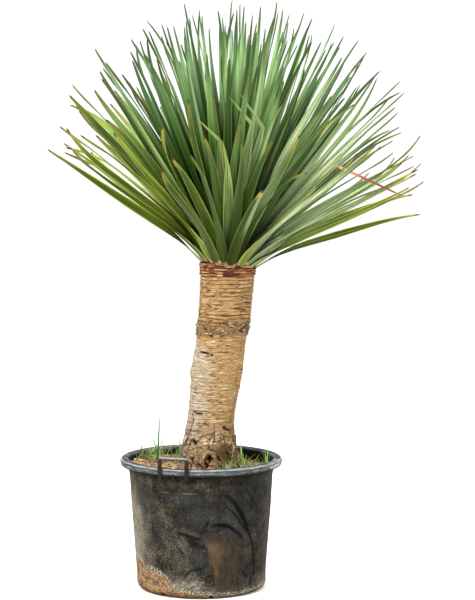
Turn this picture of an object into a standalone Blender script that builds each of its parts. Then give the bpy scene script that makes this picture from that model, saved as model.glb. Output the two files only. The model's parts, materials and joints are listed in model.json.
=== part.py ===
"""Potted dracaena: a plastic nursery tub filled with soil, a bare ringed trunk and a head of sword leaves.

Metres, +Z up. The origin is the middle of the tub's base, on the floor. The front is towards -Y.
Bearings are degrees from the front, and grow towards the right (+X).
"""
import math

import bmesh
import bpy
import numpy as np
from mathutils import Matrix, Vector

CLEARANCE = 0.0003          # left between two pieces that touch

# Tub
TUB_SIDES = 40
TUB_HEIGHT = 0.405
RIM_RADIUS = 0.250
WALL_TOP_RADIUS = 0.2265    # outside of the wall, under the lip
WALL_TOP_HEIGHT = 0.390
FOOT_RADIUS = 0.198         # where the wall's line meets the floor
FOOT_CORNER = 0.022         # outside radius of the corner at the foot
WALL = 0.0035
INSIDE_TOP = 0.398          # the wall's inner side ends here, under the lip
SKIRT_DEPTH = 0.023         # how far the lip hangs down outside
LIP_UPPER_SIDE = (          # radius, and depth below the tub's height, from the wall out to the skirt
    (0.2268, 0.0014),
    (0.2380, 0.0000),
    (0.2462, 0.0012),
    (0.2492, 0.0045),
    (0.2500, 0.0090),
)
LIP_UNDERSIDE = (           # the same, from the skirt back in to the wall
    (0.2465, 0.0085),
    (0.2440, 0.0052),
    (0.2380, 0.0040),
    (0.2300, 0.0052),
    (0.2265, 0.0085),
)
DRAIN_HOLES = 8
DRAIN_SIDES = 10
DRAIN_RADIUS = 0.008
DRAIN_CUTTER = 0.024        # length of the rod that cuts a drain hole
DRAIN_FIRST_BEARING = 9.6

# Loop handles on the rim
HANDLE_BEARINGS = (-18.6, 166.0)
HANDLE_WIDTH = 0.097
HANDLE_TOP = 0.441
HANDLE_FOOT = 0.374
HANDLE_LEG = 0.012
HANDLE_BAR = 0.0095
HANDLE_THICKNESS = 0.008
HANDLE_SETBACK = 0.0003     # its middle plane is this far outside the rim
HANDLE_SHOULDER = 0.007     # outside radius of the loop's upper corners
HANDLE_CROOK = 0.004        # inside radius there
HANDLE_FOOT_TAPER = (0.003, 0.009)
RIB_SIZE = (0.006, 0.006, 0.018)
RIB_HEIGHT = 0.382          # the rib's middle
RIB_SINK = 0.0005           # its middle is this far inside the rim's radius

# Soil
SOIL_LEVEL = 0.368
SOIL_DIP = 0.011            # close round the trunk the soil stays this far under the widest of its foot
SOIL_DIP_RADIUS = 0.110
SOIL_DIP_SLOPE = 0.4
SOIL_RINGS = (0.045, 0.090, 0.112, 0.135, 0.158, 0.180, 0.201)
SOIL_LEFT = (0.009, -0.05, 0.08)    # half the rise to the left, the x where it is, and how gently it goes
SOIL_HEAP = (0.010, 0.13)           # height and spread of the heap round the trunk
SOIL_BACK = (0.004, 0.12)           # half the fall to the back, and how gently it goes
SOIL_LUMPS = (                      # height, then two waves: across x, across y, and a start for the first
    (0.0032, (61, 17, 0.0), (-29, 53)),
    (0.0022, (127, -71, 1.3), (43, 139)),
)

# Trunk: height, middle's x and width, read up the stem
TRUNK_SIDES = 22
TRUNK_STATIONS = (
    (0.394, 0.024, 0.197),
    (0.425, 0.024, 0.178),
    (0.464, 0.024, 0.157),
    (0.536, 0.031, 0.143),
    (0.600, 0.040, 0.149),
    (0.675, 0.049, 0.160),
    (0.760, 0.061, 0.152),
    (0.841, 0.072, 0.160),
    (0.930, 0.079, 0.162),
    (0.998, 0.083, 0.170),
)
TRUNK_BASE = 0.394
TRUNK_TOP = 0.998
STUB_RADIUS = 0.095         # the round foot that stands in the soil
STUB_BOTTOM = 0.300
STUB_NECK = 0.009           # the stub ends this far under the trunk's base and widens to it
SCAR_STEP = 0.0115          # ring scars, alternately proud and sunk
SCAR_DEPTH = 0.0022
FOOT_RISE = 0.09            # height over which the foot's lobes run out and the scars begin
FOOT_LOBE = 0.0032
FOOT_LOBES = ((1.0, 5, 0.7), (0.6, 3, -0.4), (0.5, 8, 2.0))     # share, count and turn of each wave
BAND = (0.780, 0.835)       # ragged band of old leaf bases
BAND_RAGGED = 0.0045
COLLAR = (0.960, 0.996)     # ragged collar under the leaves
COLLAR_RAGGED = 0.0060
COLLAR_EDGES = (0.012, 0.004)       # heights over which the collar comes in and goes out
SAW_TEETH = 4               # corners of the trunk to one tooth of the ragged parts

# Head of leaves
HEAD_X = 0.083
HEAD_TILT = math.radians(7.0)
CORE_RADIUS = 0.078
CORE_HEIGHT = 0.125
CORE_SIDES = 16
CORE_SWELL = (              # rise up the axis, and radius there
    (0.000, 0.078),
    (0.030, 0.084),
    (0.075, 0.082),
    (0.125, 0.060),
    (0.160, 0.024),
)
LOWEST_ROOT = 0.014         # the lowest leaf's root is this far up the core
GOLDEN_ANGLE = math.radians(137.508)
LEAF_SEED = 1294
LEAF_COUNT = 230
LEAF_LENGTH = 0.652
LEAF_WIDTH = 0.038
LEAF_STATIONS = (0.0, 0.35, 0.66, 0.87, 1.0)
KEEL = 0.12                 # a leaf's keel, as a share of its width
ROOT_SHARE = 0.60           # a leaf's width inside the core, as a share of its widest
FULL_WIDTH_FROM = 0.25      # shares of the length: where a leaf has its full width
TAPER = 0.42                # and how much of it tapers
TAPER_CURVE = 0.68
LOWEST_LEAN = 63.0          # degrees from the head's axis
HEART_LEAN = 2.0
LEAN_CURVE = 0.88
GAP_LEAN = 47.5             # the head is open here on its right, between two storeys of leaves
GAP_HALF = 5.0
GAP_SIDE = 0.55             # cosine of the bearing from the right, up to which the gap goes
LOWEST_LENGTH = 0.90        # the lowest leaves' length as a share, what the next ones gain, and how fast
LENGTH_GAIN = 0.12
GAIN_RATE = 2.5
LENGTH_SPREAD = (-0.10, 0.03)
WIDTH_SPREAD = (0.85, 1.08)
TURN_SPREAD = 3.0           # degrees, as are the four below
LEAN_SPREAD = 1.3
DROOP_SPREAD = (-6.0, 14.0)
SWAY_SPREAD = 5.0
ROLL_SPREAD = 28.0
ROOT_LEAN = 0.80            # share of its lean that a leaf has at its root
ROOT_BEND = 0.15            # share of its length over which it takes the rest
DROOP_FROM = 0.30
ROLL_FROM = 0.10
ROLL_OVER = 0.40
ROOT_SINK = 0.90            # roots start at this share of the core's radius
HEART_CLOSES = 0.96         # and draw in towards the heart by this share of a half circle

# Leaves that are bent over near the tip: where each bends, and where its tip ends
FOLDED_LEAVES = (
    ((0.059, -0.200, 1.382), (-0.006, -0.240, 1.446)),
    ((0.156, -0.180, 1.429), (0.085, -0.220, 1.513)),
    ((0.187, -0.160, 1.419), (0.106, -0.200, 1.539)),
    ((0.083, -0.240, 1.308), (0.068, -0.280, 1.386)),
    ((0.406, -0.200, 1.307), (0.606, -0.300, 1.217)),
)
FOLDED_ROOT = (0.25, 0.80)  # shares of the core's height and radius where such a leaf starts
FOLDED_RISE = 0.02
FOLDED_STATIONS = (0.0, 0.45, 1.0)  # from the root to the bend
FOLDED_WIDTHS = (0.90, 1.00, 0.72, 0.42, 0.00)

# Grass that has seeded itself in the soil: x, y, blades and the tallest blade
GRASS_TUFTS = (
    (-0.135, 0.010, 11, 0.150),
    (-0.184, 0.072, 6, 0.090),
    (-0.063, 0.122, 6, 0.080),
    (0.128, -0.062, 9, 0.100),
    (0.202, 0.011, 5, 0.075),
    (0.088, -0.118, 7, 0.080),
)
GRASS_SEED = 5
GRASS_ROOT_RADIUS = 0.009
GRASS_ROOT_SIDES = 8
GRASS_ROOT_DEPTH = 0.022
GRASS_BLADE_SPOT = 0.35     # blades start at this share of the root's radius
GRASS_WIDTH = 0.0042
GRASS_THICKNESS = 0.0012
GRASS_SINK = 0.003          # a root's top is taken from this far under the formula's soil
GRASS_CROWN = 0.012         # and stands this far above that
GRASS_STATIONS = (0.0, 0.45, 0.80, 1.00)
GRASS_WIDTHS = (0.90, 1.00, 0.60, 0.00)
GRASS_HEIGHTS = (0.35, 0.75)        # the other blades, as a share of the tallest
GRASS_LEANS = (15.0, 50.0)
GRASS_TALLEST_LEAN = 8.0
GRASS_BEND = (0.5, 1.1)     # a blade's lean at its root, and what it gains to its tip, as shares
GRASS_BY_WALL = 0.17        # beyond this radius a blade on the wall's side stands up clear of the rim
GRASS_UPRIGHT = 0.3


def collection(name):
    made = bpy.data.collections.new(name)
    bpy.context.scene.collection.children.link(made)
    return made


def material(name, colour, roughness):
    made = bpy.data.materials.new(name)
    made.use_nodes = True
    shader = made.node_tree.nodes["Principled BSDF"]
    shader.inputs["Base Color"].default_value = (*colour, 1.0)
    shader.inputs["Roughness"].default_value = roughness
    shader.inputs["Metallic"].default_value = 0.0
    return made


def add_object(name, mesh, where):
    made = bpy.data.objects.new(name, mesh)
    where.objects.link(made)
    return made


def move_to(piece, where):
    """Put a new primitive in one collection only."""
    for holder in list(piece.users_collection):
        holder.objects.unlink(piece)
    where.objects.link(piece)


def solid_from_arrays(name, points, faces, where):
    """A mesh object from an array of points and a list of faces."""
    mesh = bpy.data.meshes.new(name)
    mesh.from_pydata([tuple(p) for p in points], [], faces)
    mesh.update()
    return add_object(name, mesh, where)


def apply_modifiers(piece):
    """Swap the piece's mesh for the one that its modifiers make."""
    bpy.context.view_layer.update()
    graph = bpy.context.evaluated_depsgraph_get()
    mesh = bpy.data.meshes.new_from_object(piece.evaluated_get(graph))
    piece.modifiers.clear()
    piece.data = mesh


def join(piece, others, operation, solver="EXACT"):
    """One Boolean with every object of a collection, applied; the collection's objects are then removed."""
    cut = piece.modifiers.new("join", "BOOLEAN")
    cut.operation = operation
    cut.operand_type = "COLLECTION"
    cut.collection = others
    cut.solver = solver
    apply_modifiers(piece)
    for other in list(others.objects):
        bpy.data.objects.remove(other, do_unlink=True)


def shell_volume(shell):
    """Three times the volume that a closed set of faces holds."""
    return sum(face.calc_center_median().dot(face.normal) * face.calc_area() for face in shell)


def tidy_skin(piece):
    """Clear what the joining leaves: points in the middle of straight edges, sealed hollows, loose scraps."""
    skin = bmesh.new()
    skin.from_mesh(piece.data)
    on_edges = [point for point in skin.verts if len(point.link_edges) == 2]
    bmesh.ops.dissolve_verts(skin, verts=on_edges)
    bmesh.ops.triangulate(skin, faces=skin.faces[:])
    left = set(skin.faces)
    shells = []
    while left:
        shell, edge = set(), [left.pop()]
        while edge:
            face = edge.pop()
            shell.add(face)
            for side in face.edges:
                for near in side.link_faces:
                    if near in left:
                        left.discard(near)
                        edge.append(near)
        shells.append(shell)
    shells.sort(key=shell_volume)
    for shell in shells[:-1]:
        bmesh.ops.delete(skin, geom=list(shell), context="FACES")
    skin.to_mesh(piece.data)
    skin.free()


def finish(piece, made_of, smooth_angle=40.0):
    piece.data.materials.clear()
    piece.data.materials.append(made_of)
    piece.data.shade_smooth()
    piece.data.set_sharp_from_angle(angle=math.radians(smooth_angle))


def at_bearing(bearing, radius, height):
    turn = math.radians(bearing)
    return Vector((radius * math.sin(turn), -radius * math.cos(turn), height))


def arc(centre_r, centre_z, radius, start, end, steps):
    """Points of a profile's round corner, in degrees from the outward direction."""
    turns = np.radians(np.linspace(start, end, steps))
    return [(centre_r + radius * math.cos(t), centre_z + radius * math.sin(t)) for t in turns]


def turned(name, profile, where):
    """A profile of (radius, height) points turned once round Z by a Screw modifier."""
    mesh = bpy.data.meshes.new(name)
    points = [(r, 0.0, z) for r, z in profile]
    mesh.from_pydata(points, [(i, i + 1) for i in range(len(points) - 1)], [])
    piece = add_object(name, mesh, where)
    screw = piece.modifiers.new("turn", "SCREW")
    screw.steps = screw.render_steps = TUB_SIDES
    screw.use_merge_vertices = True
    screw.merge_threshold = 0.0001
    return piece


def wall_radius(height):
    """Outside radius of the tub's straight wall at a height."""
    return FOOT_RADIUS + (WALL_TOP_RADIUS - FOOT_RADIUS) * height / WALL_TOP_HEIGHT


def foot_corner(inset, steps=4):
    """The corner at the foot, from the wall round to the base, moved in by the inset."""
    centre = wall_radius(FOOT_CORNER) - FOOT_CORNER
    return arc(centre, FOOT_CORNER, FOOT_CORNER - inset, 0.0, -90.0, steps)


def tub_profile():
    """Inside of the base, up the inner wall, over the hollow lip, and down the outside to the base again."""
    skirt = TUB_HEIGHT - SKIRT_DEPTH
    inside = [(0.0, WALL)] + foot_corner(WALL)[::-1] + [(wall_radius(INSIDE_TOP) - WALL, INSIDE_TOP)]
    over = [(radius, TUB_HEIGHT - depth) for radius, depth in LIP_UPPER_SIDE]
    skirt_end = [(RIM_RADIUS, skirt), (RIM_RADIUS - WALL, skirt)]
    under = [(radius, TUB_HEIGHT - depth) for radius, depth in LIP_UNDERSIDE]
    outside = [(WALL_TOP_RADIUS, WALL_TOP_HEIGHT)] + foot_corner(0.0) + [(0.0, 0.0)]
    return inside + over + skirt_end + under + outside


def drain_cutters(where):
    """Short rods through the corner at the foot, at equal bearings."""
    corner = wall_radius(FOOT_CORNER) - FOOT_CORNER
    reach = (FOOT_CORNER - WALL / 2) * math.sqrt(0.5)
    for i in range(DRAIN_HOLES):
        bearing = DRAIN_FIRST_BEARING + i * 360.0 / DRAIN_HOLES
        down_and_out = at_bearing(bearing, 1.0, -1.0)
        bpy.ops.mesh.primitive_cylinder_add(vertices=DRAIN_SIDES, radius=DRAIN_RADIUS, depth=DRAIN_CUTTER)
        rod = bpy.context.object
        rod.location = at_bearing(bearing, corner + reach, FOOT_CORNER - reach)
        rod.name = f"drain_cutter_{i + 1}"
        rod.rotation_euler = down_and_out.to_track_quat("Z", "Y").to_euler()
        rod.hide_render = True
        rod.display_type = "WIRE"
        move_to(rod, where)


def handle_outline():
    """Half of the loop, from the foot of a leg up its outside and back down its inside."""
    outer = HANDLE_WIDTH / 2
    inner = outer - HANDLE_LEG
    bar_under = HANDLE_TOP - HANDLE_BAR
    taper_in, taper_up = HANDLE_FOOT_TAPER
    foot = HANDLE_FOOT + taper_up
    shoulder = arc(outer - HANDLE_SHOULDER, HANDLE_TOP - HANDLE_SHOULDER, HANDLE_SHOULDER, 0.0, 90.0, 4)
    crook = arc(inner - HANDLE_CROOK, bar_under - HANDLE_CROOK, HANDLE_CROOK, 90.0, 0.0, 3)
    leg_end = [(inner, foot), (inner + taper_in, HANDLE_FOOT), (outer - taper_in, HANDLE_FOOT)]
    return [(outer, foot)] + shoulder, crook + leg_end


def add_handle(bearing, where):
    """A flat loop, filled from a 2D curve, standing on the outside of the rim."""
    outside, inside = handle_outline()
    left = [(-x, z) for x, z in outside[::-1]]
    left_inside = [(-x, z) for x, z in inside[::-1]]
    points = outside + left + left_inside + inside
    curve = bpy.data.curves.new("handle", "CURVE")
    curve.dimensions = "2D"
    curve.fill_mode = "BOTH"
    curve.extrude = HANDLE_THICKNESS / 2
    spline = curve.splines.new("POLY")
    spline.points.add(len(points) - 1)
    for point, (x, z) in zip(spline.points, points):
        point.co = (x, z, 0.0, 1.0)
    spline.use_cyclic_u = True
    drawn = add_object("handle_curve", curve, where)
    bpy.context.view_layer.update()
    mesh = bpy.data.meshes.new_from_object(drawn.evaluated_get(bpy.context.evaluated_depsgraph_get()))
    bpy.data.objects.remove(drawn, do_unlink=True)
    welded = bmesh.new()
    welded.from_mesh(mesh)
    bmesh.ops.remove_doubles(welded, verts=welded.verts, dist=0.00005)
    bmesh.ops.recalc_face_normals(welded, faces=welded.faces)
    outward = at_bearing(bearing, 1.0, 0.0)
    across = at_bearing(bearing + 90.0, 1.0, 0.0)
    place = Matrix((across, Vector((0.0, 0.0, 1.0)), outward)).transposed().to_4x4()
    place.translation = outward * (RIM_RADIUS + HANDLE_SETBACK)
    bmesh.ops.transform(welded, matrix=place, verts=welded.verts)
    bmesh.ops.recalc_face_normals(welded, faces=welded.faces)
    welded.to_mesh(mesh)
    welded.free()
    add_object("handle", mesh, where)
    add_rib(outward, across, where)


def add_rib(outward, across, where):
    """The small rib on the skirt, midway between a handle's legs."""
    bpy.ops.mesh.primitive_cube_add(size=1.0)
    rib = bpy.context.object
    frame = Matrix((across, outward, Vector((0.0, 0.0, 1.0)))).transposed().to_4x4()
    frame.translation = outward * (RIM_RADIUS - RIB_SINK) + Vector((0.0, 0.0, RIB_HEIGHT))
    rib.data.transform(frame @ Matrix.Diagonal((*RIB_SIZE, 1.0)))
    if frame.determinant() < 0:
        rib.data.flip_normals()
    move_to(rib, where)


def build_tub(parts, joins, plastic):
    tub = turned("pot", tub_profile(), parts)
    apply_modifiers(tub)
    drain_cutters(joins)
    join(tub, joins, "DIFFERENCE")
    for bearing in HANDLE_BEARINGS:
        add_handle(bearing, joins)
    join(tub, joins, "UNION")
    finish(tub, plastic)


def soil_height(x, y):
    """Level of the soil: higher on the left, heaped towards the trunk, lumpy, and level round its foot."""
    half_rise, middle, spread = SOIL_LEFT
    level = SOIL_LEVEL + half_rise * (1.0 - np.tanh((x - middle) / spread))
    from_stem = np.hypot(x - trunk_middle(TRUNK_BASE)[0], y)
    heap, spread = SOIL_HEAP
    level = level + heap * np.exp(-(from_stem / spread) ** 2)
    half_fall, spread = SOIL_BACK
    level = level - half_fall * np.tanh(y / spread)
    for height, (by_x, by_y, start), (across_x, across_y) in SOIL_LUMPS:
        level = level + height * np.sin(by_x * x + by_y * y + start) * np.sin(across_x * x + across_y * y)
    round_stem = TRUNK_BASE - SOIL_DIP + SOIL_DIP_SLOPE * np.maximum(0.0, from_stem - SOIL_DIP_RADIUS)
    return np.minimum(level, round_stem)


def soil_profile():
    """From the middle of the top out to the tub's wall, down it, and in across the base."""
    gap = WALL + CLEARANCE
    edge = (wall_radius(SOIL_LEVEL) - gap, SOIL_LEVEL)
    top = [(0.0, SOIL_LEVEL)] + [(r, SOIL_LEVEL) for r in SOIL_RINGS] + [edge]
    return top + foot_corner(gap) + [(0.0, gap)]


def build_soil(parts, joins, earth):
    """Turned to fit the tub, its top raised by the formula, with plain holes for the trunk and the grass."""
    soil = turned("soil", soil_profile(), parts)
    apply_modifiers(soil)
    points = np.empty(len(soil.data.vertices) * 3)
    soil.data.vertices.foreach_get("co", points)
    points = points.reshape(-1, 3)
    on_top = points[:, 2] > SOIL_LEVEL - 0.001
    radius = np.hypot(points[:, 0], points[:, 1])
    at_edge = on_top & (radius > SOIL_RINGS[-1] + 0.005)
    points[on_top, 2] = soil_height(points[on_top, 0], points[on_top, 1])
    follow = (wall_radius(points[at_edge, 2]) - WALL - CLEARANCE) / radius[at_edge]
    points[at_edge, :2] *= follow[:, None]
    soil.data.vertices.foreach_set("co", points.ravel())
    soil.data.update()
    add_hole("trunk_hole", trunk_middle(TRUNK_BASE), STUB_RADIUS, STUB_BOTTOM, TRUNK_SIDES, joins)
    for i, (x, y, _, _) in enumerate(GRASS_TUFTS):
        bottom = tuft_level(x, y) - GRASS_ROOT_DEPTH
        add_hole(f"tuft_hole_{i + 1}", (x, y), GRASS_ROOT_RADIUS, bottom, GRASS_ROOT_SIDES, joins)
    join(soil, joins, "DIFFERENCE")
    finish(soil, earth, 60.0)


def add_hole(name, middle, radius, bottom, sides, where):
    """A plain round hole, a clearance wider and deeper than what stands in it."""
    low = bottom - CLEARANCE
    wider = radius + CLEARANCE / math.cos(math.pi / sides)
    rod = prism(name, middle, wider, low, TUB_HEIGHT + RIM_RADIUS, sides, where)
    rod.hide_render = True
    rod.display_type = "WIRE"


def prism(name, middle, radius, low, high, sides, where):
    """An upright rod with its first corner towards +X."""
    bpy.ops.mesh.primitive_cylinder_add(vertices=sides, radius=radius, depth=high - low)
    rod = bpy.context.object
    rod.name = name
    to_right = Matrix.Rotation(-math.pi / 2, 4, "Z")
    rod.data.transform(Matrix.Translation((middle[0], middle[1], (low + high) / 2)) @ to_right)
    move_to(rod, where)
    return rod


def trunk_middle(height):
    """Where the trunk's middle line is at a height."""
    heights, middles, _ = zip(*TRUNK_STATIONS)
    return float(np.interp(height, heights, middles)), 0.0


def trunk_radius(turn, height):
    """Radius of the trunk by angle and height, as whole arrays.

    The stations give the width. Ring scars stand out and in by turns up the stem; the foot swells into
    lobes; the band and the collar of old leaf bases are ragged, by saw teeth round the stem.
    """
    heights, _, widths = zip(*TRUNK_STATIONS)
    radius = np.interp(height, heights, widths) / 2
    row = np.round((height - TRUNK_BASE) / SCAR_STEP)
    scars = SCAR_DEPTH * np.where(row % 2 == 0, 1.0, -1.0)
    above_foot = np.clip((height - TRUNK_BASE) / FOOT_RISE, 0.0, 1.0)
    lobes = sum(share * np.cos(count * turn + start) for share, count, start in FOOT_LOBES)
    foot = FOOT_LOBE * lobes * (1.0 - above_foot) ** 1.5
    corner = turn * TRUNK_SIDES / (2 * math.pi)
    saw = ((corner + row * 3) % SAW_TEETH) / SAW_TEETH - 0.4
    band_middle, band_half = (BAND[0] + BAND[1]) / 2, (BAND[1] - BAND[0]) / 2
    in_band = np.clip(1 - np.abs(height - band_middle) / band_half, 0, 1) ** 0.5
    comes_in, goes_out = COLLAR_EDGES
    in_collar = np.clip((height - COLLAR[0]) / comes_in, 0, 1)
    in_collar = in_collar * np.clip((COLLAR[1] - height) / goes_out + 1, 0, 1)
    ragged = BAND_RAGGED * saw * in_band + COLLAR_RAGGED * saw * in_collar
    return radius + scars * above_foot + foot + ragged


def build_trunk(parts, bark):
    """A loft up the leaning stem, on a plain round stub that stands in the soil."""
    turn = np.arange(TRUNK_SIDES) * 2 * math.pi / TRUNK_SIDES
    scar_heights = np.arange(TRUNK_BASE, TRUNK_TOP - SCAR_STEP / 3, SCAR_STEP)
    rings = [trunk_ring(turn, height, STUB_RADIUS) for height in (STUB_BOTTOM, TRUNK_BASE - STUB_NECK)]
    rings += [trunk_ring(turn, height, trunk_radius(turn, height)) for height in (*scar_heights, TRUNK_TOP)]
    trunk = loft("trunk", rings, parts)
    finish(trunk, bark, 60.0)


def trunk_ring(turn, height, radius):
    """A level ring of points round the trunk's middle line; below the base it keeps the base's middle."""
    middle_x, middle_y = trunk_middle(max(height, TRUNK_BASE))
    level = np.full(TRUNK_SIDES, height)
    return np.stack([middle_x + radius * np.cos(turn), middle_y + radius * np.sin(turn), level], 1)


def loft(name, rings, where):
    """A closed solid through rings of equal counts, anticlockwise from above, with flat ends."""
    sides = len(rings[0])
    faces = [tuple(reversed(range(sides)))]
    for level in range(len(rings) - 1):
        low, high = level * sides, (level + 1) * sides
        for i in range(sides):
            j = (i + 1) % sides
            faces.append((low + i, low + j, high + j, high + i))
    top = (len(rings) - 1) * sides
    faces.append(tuple(top + i for i in range(sides)))
    return solid_from_arrays(name, np.concatenate(rings), faces, where)


def head_axes():
    """The head's own axis, and the two directions across it."""
    axis = np.array([math.sin(HEAD_TILT), 0.0, math.cos(HEAD_TILT)])
    right = np.array([math.cos(HEAD_TILT), 0.0, -math.sin(HEAD_TILT)])
    return axis, right, np.array([0.0, 1.0, 0.0])


def leaf_plan():
    """What every leaf has, as arrays, from the lowest leaf (age 1) to the heart (age 0).

    The leaves follow each other round the stem by the golden angle. A leaf leans out more the older it is,
    and on the right it closes up to the storey that it is nearest, away from the gap.
    """
    rng = np.random.default_rng(LEAF_SEED)
    age = np.linspace(1.0, 0.0, LEAF_COUNT)
    turn = np.arange(LEAF_COUNT) * GOLDEN_ANGLE + np.radians(rng.normal(0, TURN_SPREAD, LEAF_COUNT))
    lean = HEART_LEAN + (LOWEST_LEAN - HEART_LEAN) * age ** LEAN_CURVE
    lean = lean + rng.normal(0, LEAN_SPREAD, LEAF_COUNT)
    length = LEAF_LENGTH * (LOWEST_LENGTH + LENGTH_GAIN * np.minimum(1, GAIN_RATE * (1 - age)))
    length = length * (1 + rng.uniform(*LENGTH_SPREAD, LEAF_COUNT))
    width = LEAF_WIDTH * rng.uniform(*WIDTH_SPREAD, LEAF_COUNT)
    droop = np.radians(rng.uniform(*DROOP_SPREAD, LEAF_COUNT))
    sway = np.radians(rng.normal(0, SWAY_SPREAD, LEAF_COUNT))
    roll = np.radians(rng.normal(0, ROLL_SPREAD, LEAF_COUNT))
    from_gap = lean - GAP_LEAN
    push = np.clip(1 - np.abs(from_gap) / (2 * GAP_HALF), 0, 1) * GAP_HALF * np.sign(from_gap)
    lean = np.where(np.cos(turn) > GAP_SIDE, lean + push, lean)
    return age, turn, np.radians(lean), length, width, droop, sway, roll


def leaf_width_share(along):
    """Width along a leaf, as a share of its widest: narrower at the root, then even, then a long taper."""
    taper = np.minimum(1.0, (1.0 - along) / TAPER) ** TAPER_CURVE
    return taper * (ROOT_SHARE + (1 - ROOT_SHARE) * np.clip(along / FULL_WIDTH_FROM, 0, 1))


def leaf_frames(along):
    """Middle line, upper side and half width of every leaf at the shares of its length in along.

    A leaf starts inside the core and runs along a direction that leans from the head's axis by its lean,
    a little less at the root, and droops or lifts and sways evenly along its length. It turns about
    itself by its roll over the middle of its length.
    """
    age, turn, lean, length, width, droop, sway, roll = leaf_plan()
    axis, right, back = head_axes()

    def directions(share):
        lean_share = ROOT_LEAN + (1 - ROOT_LEAN) * np.clip(share / ROOT_BEND, 0, 1)
        tip_down = lean[:, None] * lean_share + droop[:, None] * (share - DROOP_FROM)
        bearing = turn[:, None] + sway[:, None] * share
        outward = np.cos(bearing)[..., None] * right + np.sin(bearing)[..., None] * back
        beside = -np.sin(bearing)[..., None] * right + np.cos(bearing)[..., None] * back
        return np.cos(tip_down)[..., None] * axis + np.sin(tip_down)[..., None] * outward, beside

    root_out = np.cos(turn)[:, None] * right + np.sin(turn)[:, None] * back
    root_radius = ROOT_SINK * CORE_RADIUS * np.sqrt(1 - (HEART_CLOSES * (1 - age)) ** 2)
    climb = LOWEST_ROOT + CORE_HEIGHT * (1 - age)
    root = np.array([HEAD_X, 0.0, TRUNK_TOP + CLEARANCE]) + climb[:, None] * axis
    root = root + root_radius[:, None] * root_out
    middle_direction, _ = directions((along[1:] + along[:-1]) / 2)
    steps = middle_direction * (length[:, None] * np.diff(along))[..., None]
    line = root[:, None, :] + np.concatenate([np.zeros((len(age), 1, 3)), np.cumsum(steps, 1)], 1)
    direction, beside = directions(along)
    upper = np.cross(direction, beside)
    rolled = roll[:, None] * np.clip((along - ROLL_FROM) / ROLL_OVER, 0, 1)
    across = np.cos(rolled)[..., None] * beside + np.sin(rolled)[..., None] * upper
    upper = np.cross(direction, across)
    half = width[:, None] * leaf_width_share(along) / 2
    return line, across, upper, half


def add_blade(name, line, across, upper, half, where):
    """One three-sided blade: two edges and a keel at each station, and a point at the end."""
    left = line - across * half[:, None]
    right = line + across * half[:, None]
    keel = line - upper * (2 * KEEL * half)[:, None]
    rings = np.stack([left, keel, right], 1)[:-1]
    points = np.concatenate([rings.reshape(-1, 3), line[-1:]])
    faces = [(0, 2, 1)]
    for level in range(len(rings) - 1):
        low = 3 * level
        for i in range(3):
            j = (i + 1) % 3
            faces.append((low + i, low + j, low + 3 + j, low + 3 + i))
    low = 3 * (len(rings) - 1)
    faces += [(low + i, low + (i + 1) % 3, len(points) - 1) for i in range(3)]
    blade = solid_from_arrays(name, points, faces, where)
    outward = bmesh.new()
    outward.from_mesh(blade.data)
    bmesh.ops.recalc_face_normals(outward, faces=outward.faces)
    outward.to_mesh(blade.data)
    outward.free()
    return blade


def add_folded_leaf(name, bend, tip, where):
    """A leaf that runs from the core to its bend, then straight on to its tip."""
    axis, _, _ = head_axes()
    base = np.array([HEAD_X, 0.0, TRUNK_TOP + CLEARANCE])
    bend, tip = np.array(bend), np.array(tip)
    out = bend - base - axis * np.dot(bend - base, axis)
    out /= np.linalg.norm(out)
    climb, reach = FOLDED_ROOT
    root = base + climb * CORE_HEIGHT * axis + reach * CORE_RADIUS * out
    share = np.array(FOLDED_STATIONS)[:, None]
    rise = FOLDED_RISE * np.sin(math.pi * share) * axis
    line = np.concatenate([root + (bend - root) * share + rise, [(bend + tip) / 2], [tip]])
    run = np.gradient(line, axis=0)
    run /= np.linalg.norm(run, axis=1)[:, None]
    across = np.cross(run, out)
    across /= np.linalg.norm(across, axis=1)[:, None]
    across *= np.sign(across @ across[0])[:, None]
    upper = np.cross(run, across)
    half = LEAF_WIDTH / 2 * np.array(FOLDED_WIDTHS)
    add_blade(name, line, across, upper, half, where)


def build_core(parts):
    """A bud on a flat base, in line with the head's axis, which the leaves grow out of."""
    axis, right, back = head_axes()
    turn = np.arange(CORE_SIDES) * 2 * math.pi / CORE_SIDES
    base = np.array([HEAD_X, 0.0, TRUNK_TOP + CLEARANCE])
    rings = []
    for rise, radius in CORE_SWELL:
        ring = base + radius * (np.cos(turn)[:, None] * right + np.sin(turn)[:, None] * back)
        ring = ring + rise * axis
        if rise == 0.0:
            ring[:, 2] = base[2]
        rings.append(ring)
    return loft("leaf_crown", rings, parts)


def build_leaf_crown(parts, joins, green):
    core = build_core(parts)
    frames = leaf_frames(np.array(LEAF_STATIONS))
    for i, (line, across, upper, half) in enumerate(zip(*frames)):
        add_blade(f"leaf_{i + 1}", line, across, upper, half, joins)
    for i, (bend, tip) in enumerate(FOLDED_LEAVES):
        add_folded_leaf(f"folded_leaf_{i + 1}", bend, tip, joins)
    join(core, joins, "UNION", "MANIFOLD")
    tidy_skin(core)
    finish(core, green, 30.0)


def tuft_level(x, y):
    """Height of the soil at a tuft, a little low so that its root shows no gap under the top."""
    return float(soil_height(np.array(x), np.array(y))) - GRASS_SINK


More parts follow.
